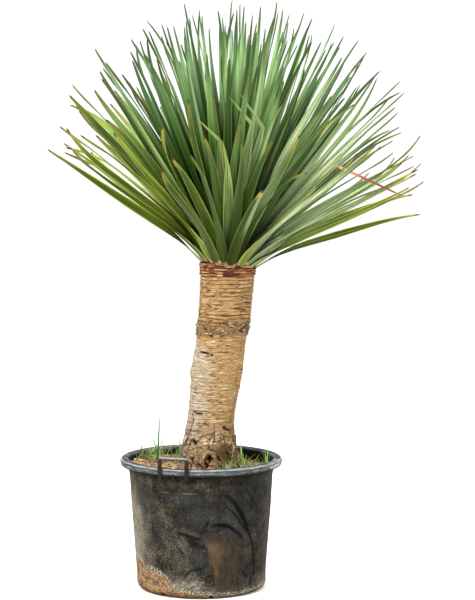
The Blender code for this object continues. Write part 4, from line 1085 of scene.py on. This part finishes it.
def strip_rings(turn, height, half_angle, rise, tall, stand, curl):
    """Strips bent round the stem, as rings of 4 points at 7 places along each.

    A strip runs from one end to the other over its angle, climbing by rise. Its upper edge lies on the bark;
    its torn lower edge stands out by stand, most in the middle, and curl lifts one end off the stem.
    """
    share = np.linspace(-1, 1, 7)
    along = turn[:, None] + half_angle[:, None] * share
    level = height[:, None] + rise[:, None] * share
    half = tall[:, None] * (1 - np.abs(share) ** 3 * 0.75) / 2
    lift = curl[:, None] * np.maximum(0, share) ** 2
    out, foot = stand[:, None] * (0.55 + 0.45 * np.cos(share * 1.4)) + lift, 0.0002 + 0.8 * lift
    corners = ((half, foot), (half, foot + STRIP_THICKNESS), (-half, out + STRIP_THICKNESS), (-half, out))
    return np.stack([stem_point(along, level + up, outward) for up, outward in corners], 2)


def by_kind(limits, share):
    """Each strip's value: the least for its kind, and this share of how much more it may be."""
    least, more = np.array(limits)[kind].T
    return least + more * share


rng = np.random.default_rng(STRIP_SEED)
kind = np.repeat((0, 1, 2), STRIP_COUNTS)
stray, total = kind == 2, len(kind)
turn = rng.uniform(-math.pi, math.pi, total)
place, long, wide, out, lifted, tone = rng.uniform(0, 1, (6, total))
tier = np.array(COLLAR_TIERS)[np.floor(place * len(COLLAR_TIERS)).astype(int)]
tier = tier + rng.normal(0, TIER_SPREAD, total)
height = np.choose(kind, (tier, BAND_FOOT + BAND_SPAN * place, STRAYS_FOOT + STRAYS_SPAN * place ** 0.6))
rise = np.choose(kind, [rng.normal(0, spread, total) for spread in STRIP_RISES])
stand = by_kind(STRIP_STANDS, np.where(stray, out, out ** 2))
curl = np.array(STRIP_CURLS)[kind] * lifted ** 3
rings = strip_rings(turn, height, by_kind(STRIP_ANGLES, long), rise, by_kind(STRIP_WIDTHS, wide), stand, curl)
strips = tube_piece("torn_leaf_bases", rings, strips_finish())
mark_rings(strips, rings, tone=tone[:, None, None], grey=np.array(STRIP_GREYS)[kind][:, None, None])
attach(strips, "root")


# Leaves: stiff swords set round the tip of the stem by the golden angle, the old ones leaning out. Each is
# channelled above and keeled below, with a tan clasping base, a thin pale margin and a dry brown tip.

HEAD_TILT = math.radians(7.0)
CORE_RADIUS = 0.078
CORE_HEIGHT = 0.125
LOWEST_ROOT = 0.014
CLEARANCE = 0.0003
GOLDEN_ANGLE = math.radians(137.508)
LEAF_SEED = 1294
LEAF_COUNT = 230
LEAF_LENGTH = 0.652
LEAF_WIDTH = 0.038
TRIMMED = 0.90              # the widths here, as a share of the solid's
WIDTH_SHARES = (            # along, and the width there as a share of the widest
    (0.00, 1.02), (0.04, 0.96), (0.12, 1.00), (0.30, 0.95), (0.50, 0.84), (0.68, 0.68), (0.80, 0.52),
    (0.88, 0.38), (0.94, 0.27), (0.985, 0.17), (1.00, 0.0),
)
CHANNEL = 0.16              # depth of the channel, and thickness at the keel, as shares of half the width
BLADE_THICKNESS = 0.12
NEEDLE = (0.78, 0.95)       # where a blade thickens into its round needle tip
LOWEST_LEAN, HEART_LEAN, LEAN_CURVE = 63.0, 2.0, 0.88
GAP_LEAN, GAP_HALF, GAP_SIDE = 47.5, 5.0, 0.55
LOWEST_LENGTH, LENGTH_GAIN, GAIN_RATE = 0.90, 0.12, 2.5
LENGTH_SPREAD, WIDTH_SPREAD = (-0.10, 0.03), (0.85, 1.08)
TURN_SPREAD, LEAN_SPREAD, DROOP_SPREAD, SWAY_SPREAD, ROLL_SPREAD = 3.0, 1.3, (-6.0, 14.0), 5.0, 28.0
ROOT_LEAN, ROOT_BEND, DROOP_FROM = 0.80, 0.15, 0.30
ROLL_FROM, ROLL_OVER = 0.10, 0.40
ROOT_SINK, HEART_CLOSES = 0.90, 0.96
TWIST_SPREAD = 26.0         # degrees by which the outer half of a blade twists further
SIDE_TWIST = (15.0, 55.0)   # degrees by which a leaf that leans to the left or right twists from its foot
LEFT_TWIST, RIGHT_TWIST, RIGHT_SAME_WAY = 1.25, 0.9, 0.6     # shares of that, and how many turn the same way
LOW_RIGHT_AGE, LOW_RIGHT_REACH, LOW_RIGHT_TWIST = 0.94, 0.3, 58.0    # the lowest on the right, and its twist
TIP_BEND = (6.0, 12.0)      # spread in degrees by which a tip bends aside, on the youngest and oldest leaf
CLASPING = 50               # the lowest leaves, whose feet wrap the stem just above the collar
CLASPED_OVER = 0.32
CLASP_RADIUS, CLASP_HEIGHT = (0.0825, 0.00016), (0.0022, 0.00042)  # lowest foot, and the change to the next
TIP_BENDS_FROM = 0.66
LEAF_STATIONS = (0.0, 0.02, 0.045, 0.08, 0.12, 0.18, 0.26, 0.34, 0.42, 0.50, 0.57, 0.64, 0.70, 0.76, 0.815,
                 0.865, 0.91, 0.95, 0.985)
LOOKS_SEED = 81
FOLDED_LEAVES = (           # bend, tip, and how dry the leaf is beyond its bend
    ((0.061, -0.420, 1.386), (-0.001, -0.470, 1.448), 0.0),
    ((0.154, -0.380, 1.431), (0.086, -0.430, 1.513), 0.0),
    ((0.185, -0.360, 1.422), (0.106, -0.400, 1.538), 0.0),
    ((0.084, -0.450, 1.314), (0.070, -0.490, 1.390), 0.0),
    ((0.406, -0.200, 1.307), (0.606, -0.300, 1.217), 1.0),
)
FOLDED_LOOKS = {            # for each of them, what leaf_finish reads
    "tone": (0.6, 0.7, 0.5, 0.5, 0.5), "burn": (0.9, 0.5, 0.2, 0.9, 0.0), "sunny": (0.6, 0.3, 0.2, 0.6, 0.3),
    "bleached": (0.2, 0.4, 0.4, 0.2, 0.5), "fresh": 0.7, "waxy": 0.0, "old": 0.0,
}
FOLDED_AT = 0.62            # the bend's share of the leaf's length
FOLDED_BEYOND = (0.06, 0.3, 0.55, 0.8, 1.0)         # where the rings are, as shares of the way on to the tip
DRY_WIDTHS = (0.38, 0.36, 0.32, 0.26, 0.16, 0.0)    # at the bend and beyond, as shares of the leaf's width
LIVE_WIDTHS = (0.30, 0.26, 0.20, 0.15, 0.08, 0.0)
FOLDED_ROOT_UP, FOLDED_ROOT_OUT = 0.25 * CORE_HEIGHT, 0.80 * CORE_RADIUS
FOLDED_ARCH = 0.02

head_axis = np.array([math.sin(HEAD_TILT), 0.0, math.cos(HEAD_TILT)])
head_right = np.array([math.cos(HEAD_TILT), 0.0, -math.sin(HEAD_TILT)])
head_back = np.array([0.0, 1.0, 0.0])
head_base = np.array([HEAD_X, 0.0, TRUNK_TOP + CLEARANCE])


def leaf_plan():
    """What every leaf has, as arrays, from the lowest leaf (age 1) to the heart (age 0)."""
    rng = np.random.default_rng(LEAF_SEED)
    age = np.linspace(1.0, 0.0, LEAF_COUNT)
    turn = np.arange(LEAF_COUNT) * GOLDEN_ANGLE + np.radians(rng.normal(0, TURN_SPREAD, LEAF_COUNT))
    lean = HEART_LEAN + (LOWEST_LEAN - HEART_LEAN) * age ** LEAN_CURVE
    lean = lean + rng.normal(0, LEAN_SPREAD, LEAF_COUNT)
    length = LEAF_LENGTH * (LOWEST_LENGTH + LENGTH_GAIN * np.minimum(1, GAIN_RATE * (1 - age)))
    length = length * (1 + rng.uniform(*LENGTH_SPREAD, LEAF_COUNT))
    width = LEAF_WIDTH * rng.uniform(*WIDTH_SPREAD, LEAF_COUNT)
    droop = np.radians(rng.uniform(*DROOP_SPREAD, LEAF_COUNT))
    sway = np.radians(rng.normal(0, SWAY_SPREAD, LEAF_COUNT))
    roll = np.radians(rng.normal(0, ROLL_SPREAD, LEAF_COUNT))
    from_gap = lean - GAP_LEAN
    push = np.clip(1 - np.abs(from_gap) / (2 * GAP_HALF), 0, 1) * GAP_HALF * np.sign(from_gap)
    lean = np.where(np.cos(turn) > GAP_SIDE, lean + push, lean)
    return age, turn, np.radians(lean), length, width, droop, sway, roll


def leaf_frames(plan, along, twist, side_twist, tip_bend):
    """Middle line, across and upper directions, and half width of each leaf at shares of its length.

    A direction leans from the head's axis by the leaf's lean, a little less at the root, droops and sways
    evenly along the leaf, and the last third bends aside. The blade turns about itself by its roll, by its
    side twist over the first third, and by its twist in the outer half. The lowest leaves start at the stem's
    surface just above the collar. Blades on the left are a little wider and those on the right narrower, and
    the young ones and those on the right are slimmer towards the tip.
    """
    age, turn, lean, length, width, droop, sway, roll = plan

    def directions(share):
        lean_share = ROOT_LEAN + (1 - ROOT_LEAN) * np.clip(share / ROOT_BEND, 0, 1)
        bent = np.clip((share - TIP_BENDS_FROM) / (1 - TIP_BENDS_FROM), 0, 1) ** 1.5
        aside_down, aside = (np.outer(bend, bent) for bend in tip_bend)
        tip_down = np.outer(lean, lean_share) + np.outer(droop, share - DROOP_FROM) + aside_down
        bearing = turn[:, None] + np.outer(sway, share) + aside
        c, s = np.cos(bearing)[..., None], np.sin(bearing)[..., None]
        outward, beside = c * head_right + s * head_back, c * head_back - s * head_right
        return np.cos(tip_down)[..., None] * head_axis + np.sin(tip_down)[..., None] * outward, beside

    root_out = np.outer(np.cos(turn), head_right) + np.outer(np.sin(turn), head_back)
    root_radius = ROOT_SINK * CORE_RADIUS * np.sqrt(1 - (HEART_CLOSES * (1 - age)) ** 2)
    root = head_base + np.outer(LOWEST_ROOT + CORE_HEIGHT * (1 - age), head_axis)
    root += root_radius[:, None] * root_out
    middle_direction, _ = directions((along[1:] + along[:-1]) / 2)
    steps = middle_direction * np.outer(length, np.diff(along))[..., None]
    line = root[:, None, :] + np.concatenate([np.zeros((len(age), 1, 3)), np.cumsum(steps, 1)], 1)
    rank = np.arange(len(age))[:, None]
    (reach, nearer), (rise, higher) = CLASP_RADIUS, CLASP_HEIGHT
    foot = head_base + (reach - nearer * rank) * root_out + (rise + higher * rank) * head_axis
    clasps = 1 - eased(rank, CLASPING - 12, CLASPING)
    line += ((foot - root) * clasps)[:, None] * (1 - eased(along, 0, CLASPED_OVER))[:, None]
    direction, beside = directions(along)
    upper = np.cross(direction, beside)
    rolled = np.outer(roll, np.clip((along - ROLL_FROM) / ROLL_OVER, 0, 1))
    rolled += np.outer(twist, np.clip((along - 0.40) / 0.60, 0, 1) ** 1.3)
    rolled += np.outer(side_twist, eased(along, 0.03, 0.34))
    across = np.cos(rolled)[..., None] * beside + np.sin(rolled)[..., None] * upper
    upper = np.cross(direction, across)
    to_right = np.sin(lean) * np.cos(turn)
    side_share = 1 + 0.10 * eased(-to_right, 0.15, 0.60) - 0.12 * eased(to_right, 0.10, 0.55)
    slim = np.maximum(1 - eased(age, 0.15, 0.60), 0.6 * eased(to_right, 0.15, 0.45))
    widths = TRIMMED * np.outer(side_share * width, np.interp(along, *np.transpose(WIDTH_SHARES)))
    widths *= 1 - 0.30 * np.outer(slim, eased(along, 0.50, 0.88))
    return line, across, upper, widths / 2


def blade_rings(line, across, upper, half, along=0.0):
    """Rings of 4 points: left margin, channel above, right margin, keel below."""
    needle = eased(np.broadcast_to(along, half.shape), *NEEDLE)[..., None]
    half = half[..., None]
    left, right = line - across * half, line + across * half
    thick = np.maximum((BLADE_THICKNESS + 1.1 * needle) * half, 0.0004)
    return np.stack([left, line - upper * CHANNEL * half, right, line - upper * (CHANNEL * half + thick)], -2)


def crease_margins(piece):
    """Keep the two faces of each blade apart in its shading, with a sharp edge along both margins."""
    mesh = piece.data
    ends, side = np.empty(2 * len(mesh.edges), np.int32), np.empty(len(mesh.vertices), np.float32)
    mesh.edges.foreach_get("vertices", ends)
    mesh.attributes["side"].data.foreach_get("value", side)
    sharp = np.all(side[ends.reshape(-1, 2)] == 0.5, axis=1)
    mesh.attributes.new("sharp_edge", "BOOLEAN", "EDGE").data.foreach_set("value", sharp)


def leaf_finish():
    """Waxy leaf: painted shade at the root and paler outwards, olive below, with fine stripes along it.

    Sunny leaves are yellower and lighter, partly as painted light; pale ones are chalky in their inner half,
    also partly as painted light; fresh ones are blue-green in their outer half; some have a painted glare
    along one side; and old ones are dull, and lighter at the root as painted light. Tones differ most in the
    outer half. The foot is tan, the margin pale or yellow, the tip dark green or ochre, and its needle brown.
    A dry leaf is straw and red-brown beyond its bend.
    """
    made = Finish("sword_leaf", 0.5, Specular_IOR_Level=0.03)
    tone, along, across, side, dry, burn = made.attributes("tone along across side dry burn")
    sunny, bleached, waxy, old, fresh = made.attributes("sunny bleached waxy old fresh")
    axes = {"X": across * 3.2, "Y": along * 2.5, "Z": tone * 60.0}
    lengthwise = made.node("ShaderNodeCombineXYZ", "Vector", axes)
    stripes = made.noise(1.0, 3, lengthwise)
    fine = made.noise(1.0, 2, made.vector("MULTIPLY", lengthwise, (4.0, 0.5, 1.0)))
    streaked, outwards = stripes.step(0.35, 0.65), along.step(0.06, 0.50)
    young = along.step(0.40, 0.84) * fresh
    # Both faces are painted dark near the root, as the shade inside the crown, and lighten outwards.
    above = outwards.between((0.004, 0.011, 0.001), (0.009, 0.045, 0.004)).under(young, (0.182, 0.322, 0.164))
    below = outwards.between((0.012, 0.024, 0.001), (0.017, 0.047, 0.003)).under(young, (0.140, 0.245, 0.098))
    leaf = side.step(0.42, 0.58).between(below, above)
    # Old leaves are dull olive and lighter than the rest at the root: partly their colour, partly painted
    # light.
    aged_and_lit = along.step(0.04, 0.45).between((0.085, 0.112, 0.028), (0.092, 0.134, 0.026))
    leaf = leaf.under(old * 0.60, aged_and_lit)
    # Sunny leaves are yellower and lighter: partly their colour, partly painted light.
    leaf = leaf.under(sunny * 0.80, streaked.between((0.078, 0.122, 0.007), (0.185, 0.250, 0.036)))
    # Pale leaves, mostly on the right: partly their colour, partly painted light.
    pallor = (along.step(0.02, 0.25) * 0.55 + 0.45) * (along.step(0.44, 0.84) * -0.84 + 1.0) * bleached * 0.88
    leaf = leaf.under(pallor, streaked.between((0.195, 0.275, 0.125), (0.540, 0.640, 0.400)))
    leaf = leaf.tinted(1.0, tone.between((0.52, 0.54, 0.46), (1.30, 1.27, 1.25)))
    varied = tone.step(0.12, 0.80).between((0.46, 0.52, 0.48), (1.50, 1.40, 1.42))
    leaf = leaf.tinted(along.step(0.32, 0.72) * 0.85, varied)
    leaf = leaf.tinted(stripes.step(0.50, 0.66) * (along * 0.55 + 0.35), (1.7, 1.6, 1.55))
    leaf = leaf.tinted(stripes.step(0.46, 0.30) * 0.75, (0.38, 0.45, 0.35))
    leaf = leaf.under(fine.step(0.54, 0.70) * (along * 0.42 + 0.11), (0.155, 0.272, 0.062))
    # A painted glare along one side of some leaves.
    painted_glare = waxy * across.step(-0.05, 0.35) * along.step(0.30, 0.60)
    leaf = leaf.under(painted_glare * 0.45, (0.290, 0.400, 0.190))
    edge = made.node("ShaderNodeMath", "Value", {0: across}, operation="ABSOLUTE").step(0.72, 0.95)
    margin = sunny.between((0.200, 0.290, 0.075), (0.450, 0.430, 0.070))
    leaf = leaf.under(edge * (sunny * 0.50 + along * 0.5), margin)
    foot = (along + across * across * -0.024).stirred(stripes, 0.02).step(0.020, 0.004)
    leaf = leaf.under(foot, stripes.step(0.35, 0.60).between((0.120, 0.065, 0.025), (0.330, 0.245, 0.130)))
    tip = burn.between((0.030, 0.055, 0.016), (0.330, 0.260, 0.040))
    leaf = leaf.under(along.step(0.79, 0.96) * 0.80, tip)
    leaf = leaf.under((along + burn * 0.03).step(0.975, 1.0), (0.050, 0.028, 0.014))
    dead = along.step(0.62, 0.80).between((0.400, 0.240, 0.120), (0.165, 0.026, 0.030))
    dead = dead.under(along.step(0.90, 1.0), (0.035, 0.014, 0.010))
    leaf = leaf.under(dry * along.step(0.575, 0.61), dead)
    made.bump(stripes, 0.0006, 0.5)
    return made.coloured(leaf, stripes * 0.2 + 0.40)


def mark_blades(piece, rings, along, **per_blade):
    """What leaf_finish reads: the place along and across the blade, its side, and the looks of each blade."""
    mark_rings(piece, rings, along=along[:, :, None], across=(-1.0, 0.0, 1.0, 0.0), side=(0.5, 1.0, 0.5, 0.0),
               **{name: np.reshape(values, (-1, 1, 1)) for name, values in per_blade.items()})


plan = leaf_plan()
age, turn, lean = plan[:3]
to_right, to_front = np.sin(lean) * np.cos(turn), -np.sin(lean) * np.sin(turn)
low_right = (age > LOW_RIGHT_AGE) & (to_right > LOW_RIGHT_REACH)
looks = np.random.default_rng(LOOKS_SEED)
twist = np.radians(looks.normal(0, TWIST_SPREAD, LEAF_COUNT))
side_twist = np.radians(looks.uniform(*SIDE_TWIST, LEAF_COUNT)) * to_right / np.sin(np.radians(LOWEST_LEAN))
side_twist *= np.where(to_right < 0, LEFT_TWIST, RIGHT_TWIST)
same_way = looks.uniform(0, 1, LEAF_COUNT) < np.where(to_right < 0, 1.0, RIGHT_SAME_WAY)
side_twist = np.where(same_way, side_twist, -side_twist)
side_twist = np.where(low_right, math.radians(LOW_RIGHT_TWIST) - plan[-1], side_twist)
tip_bend = np.radians(looks.normal(0, 1, (2, LEAF_COUNT)) * np.interp(age, (0, 1), TIP_BEND))
stations = np.append(LEAF_STATIONS, 1.0)
line, across, upper, half = leaf_frames(plan, stations, twist, side_twist, tip_bend)
rings = blade_rings(line, across, upper, half, stations)[:, :-1]
leaf_material = leaf_finish()
leaves = tube_piece("leaves", rings, leaf_material, last=line[:, -1])
outer, facing = eased(age, 0.45, 0.95), eased(to_front, 0.30, 0.80)
tone = np.where(low_right, 0.34, looks.uniform(0, 1, LEAF_COUNT) * (1 - 0.4 * facing))
burn = outer * looks.uniform(0.2, 1, LEAF_COUNT)
# Sunny leaves lean left and pale ones right; both, and the old ones at the root, are lighter partly as
# painted light. Some leaves get a painted glare along one side.
sunny = outer * np.clip(-0.10 - 1.7 * to_right + looks.normal(0, 0.25, LEAF_COUNT), 0, 1)
bleached = eased(to_right + looks.normal(0, 0.17, LEAF_COUNT), 0.10, 0.45)
bleached = bleached * looks.choice((0.4, 1.0, 1.0), LEAF_COUNT) * (1 - 0.85 * low_right)
waxy = looks.uniform(0, 1, LEAF_COUNT) > 0.84
fresh = 1.0 - 0.50 * eased(age, 0.08, 0.45) - 0.22 * eased(age, 0.5, 0.9) - 0.20 * eased(to_right, 0.25, 0.60)
mark_blades(leaves, rings, np.broadcast_to(LEAF_STATIONS, rings.shape[:2]), tone=tone, burn=burn,
            sunny=np.maximum(sunny, low_right), bleached=bleached, waxy=waxy, old=outer * (1 - 0.6 * facing),
            fresh=fresh, dry=0.0)
crease_margins(leaves)
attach(leaves, "root")
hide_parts("leaf_crown")


def folded_frames(bend, tip, dry):
    """A leaf from the core to its bend, slightly arched, then straight to its tip."""
    bend, tip = np.array(bend), np.array(tip)
    out = bend - head_base - head_axis * ((bend - head_base) @ head_axis)
    out /= np.linalg.norm(out)
    root = head_base + FOLDED_ROOT_UP * head_axis + FOLDED_ROOT_OUT * out
    share, beyond = np.linspace(0, 1, 8), np.array(FOLDED_BEYOND)
    rising = root + np.outer(share, bend - root) + FOLDED_ARCH * np.outer(np.sin(math.pi * share), head_axis)
    line = np.concatenate([rising, bend + np.outer(beyond, tip - bend)])
    run = np.gradient(line, axis=0)
    run /= np.linalg.norm(run, axis=1)[:, None]
    across = np.cross(run, out)
    across /= np.linalg.norm(across, axis=1)[:, None]
    across *= np.sign(across @ across[0])[:, None]
    at_bend, *past = DRY_WIDTHS if dry else LIVE_WIDTHS
    width = np.append(np.interp(share, (0, 0.45, 0.75, 1), (0.75, 0.85, 0.70, at_bend)), past)
    along = np.append(FOLDED_AT * share, FOLDED_AT + (1 - FOLDED_AT) * beyond)
    return line, across, np.cross(run, across), LEAF_WIDTH / 2 * width, along


frames = [folded_frames(*folded) for folded in FOLDED_LEAVES]
line, across, upper, half, along = (np.stack(values) for values in zip(*frames))
rings = blade_rings(line, across, upper, half, along)[:, :-1]
folded = tube_piece("folded_leaves", rings, leaf_material, last=line[:, -1])
mark_blades(folded, rings, along[:, :-1], dry=[dry for _, _, dry in FOLDED_LEAVES], **FOLDED_LOOKS)
crease_margins(folded)
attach(folded, "root")


# Heart of the head: the short tip of the stem that the leaves clasp, painted nearly black as the shade in the
# gaps between them. It is round, sits on the trunk's top and leans with the head.

CORE_SWELL = ((0.000, 0.078), (0.030, 0.084), (0.075, 0.082), (0.125, 0.060), (0.160, 0.024))  # rise, radius
CORE_TIP = 0.17


def heart_finish():
    """Fibrous dry leaf sheath, from nearly black to red-brown: the red-brown its own, the near black painted
    shade.
    """
    made = Finish("stem_tip", 0.75, Specular_IOR_Level=0.15)
    fibres = made.noise((0.005, 0.005, 0.03))
    made.bump(fibres, 0.0010, 0.7)
    return made.coloured(fibres.step(0.34, 0.60).between((0.016, 0.008, 0.004), (0.070, 0.030, 0.014)))


turn = np.linspace(0, 2 * math.pi, 40, endpoint=False)
rise, radius = eased_through(CORE_SWELL, 3).T[..., None]
ring = (radius * np.cos(turn))[..., None] * head_right + (radius * np.sin(turn))[..., None] * head_back
rings = (head_base + ring + rise[..., None] * head_axis)[None]
rings[0, 0, :, 2] = head_base[2]
ends = head_base[None], (head_base + CORE_TIP * head_axis)[None]
heart = tube_piece("stem_tip", rings, heart_finish(), *ends)
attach(heart, "root")


# Grass: six self-sown tufts in the soil, bright green to straw. Each has the solid's own blades, made finer,
# the first of them tall and broad, and thin short blades scattered at its foot.

GRASS_TUFTS = (             # x, y, blades and the tallest blade
    (-0.135, 0.010, 11, 0.150),
    (-0.184, 0.072, 6, 0.090),
    (-0.063, 0.122, 6, 0.080),
    (0.128, -0.062, 9, 0.100),
    (0.202, 0.011, 5, 0.075),
    (0.088, -0.118, 7, 0.080),
)
GRASS_SEED = 5
GRASS_ROOT_RADIUS = 0.009
GRASS_CROWN = 0.012
GRASS_WIDTH, TALLEST_WIDTH, SMALL_WIDTH = 0.0036, 0.00576, 0.0026
GRASS_SINK, SMALL_SINK = 0.003, 0.009
GRASS_HEIGHTS, SMALL_HEIGHTS = (0.35, 0.75), (0.25, 0.85)   # as shares of the tallest
GRASS_LEANS, SMALL_LEANS, TALLEST_LEAN = (15, 50), (24, 84), 8.0
GRASS_BY_WALL, BY_WALL_LEAN = 0.17, 0.3     # beyond this radius, blades lean outwards only by this share
SMALL_BLADES = 3            # for each of the solid's blades
SMALL_SPREAD, SMALL_WITHIN = 0.018, 0.208
BLADE_POINTS = 8


def grass_finish():
    """Soft green of many tones, some blades straw, all turning olive to the tips."""
    made = Finish("soft_grass", 0.55, Specular_IOR_Level=0.3)
    tone, along = made.attributes("tone along")
    blade = tone.between((0.062, 0.175, 0.011), (0.330, 0.500, 0.125))
    blade = blade.under(tone.step(0.84, 0.90), (0.560, 0.500, 0.300))
    return made.coloured(blade.under(along.step(0.50, 1.0) * 0.6, (0.125, 0.165, 0.040)))


def arched_blade(x, y, sink, turn, height, lean, width):
    """A blade's middle line and rings: it leans out more and more along its length, by the solid's rule."""
    if math.hypot(x, y) > GRASS_BY_WALL and math.cos(turn) * x + math.sin(turn) * y > 0:
        lean *= BY_WALL_LEAN
    outward = np.array([math.cos(turn), math.sin(turn), 0.0])
    share = np.linspace(0, 1, BLADE_POINTS)
    leans = math.radians(lean) * (0.5 + 1.1 * share)
    run = np.outer(np.sin(leans), outward) + np.outer(np.cos(leans), (0.0, 0.0, 1.0))
    steps = (run[1:] + run[:-1]) / 2 * (height * np.diff(share))[:, None]
    start = np.array([x, y, soil_height(x, y) - sink + GRASS_CROWN / 2]) + 0.35 * GRASS_ROOT_RADIUS * outward
    line = start + np.concatenate([np.zeros((1, 3)), np.cumsum(steps, 0)])
    across = np.broadcast_to([-math.sin(turn), math.cos(turn), 0.0], line.shape)
    half = width / 2 * np.interp(share, (0, 0.45, 0.8, 1), (0.8, 1.0, 0.6, 0.0))
    return line, blade_rings(line, across, np.cross(run, across), half)[:-1]


grass_material = grass_finish()
for number, (x, y, blades, tallest) in enumerate(GRASS_TUFTS):
    rng = np.random.default_rng(GRASS_SEED + number)
    made = []
    for i, turn in enumerate(np.arange(blades) * GOLDEN_ANGLE + rng.uniform(0, 2 * math.pi)):
        height, lean, width = 1.0, TALLEST_LEAN, TALLEST_WIDTH
        if i > 0:
            height, lean, width = rng.uniform(*GRASS_HEIGHTS), rng.uniform(*GRASS_LEANS), GRASS_WIDTH
        made.append(arched_blade(x, y, GRASS_SINK, turn, tallest * height, lean, width))
    for turn in rng.uniform(0, 2 * math.pi, SMALL_BLADES * blades):
        near = np.array([x, y]) + rng.normal(0, SMALL_SPREAD, 2)
        near *= min(1.0, SMALL_WITHIN / np.hypot(*near))
        lean, height = rng.uniform(*SMALL_LEANS), rng.uniform(*SMALL_HEIGHTS)
        made.append(arched_blade(*near, SMALL_SINK, turn, tallest * height, lean, SMALL_WIDTH))
    line, rings = (np.stack(values) for values in zip(*made))
    tuft = tube_piece(f"grass_{number + 1}", rings, grass_material, last=line[:, -1])
    mark_rings(tuft, rings, along=np.linspace(0, 1, BLADE_POINTS)[:-1, None],
               tone=rng.uniform(0, 1, (len(made), 1, 1)))
    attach(tuft, "root")
    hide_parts(f"grass_tuft_{number + 1}")
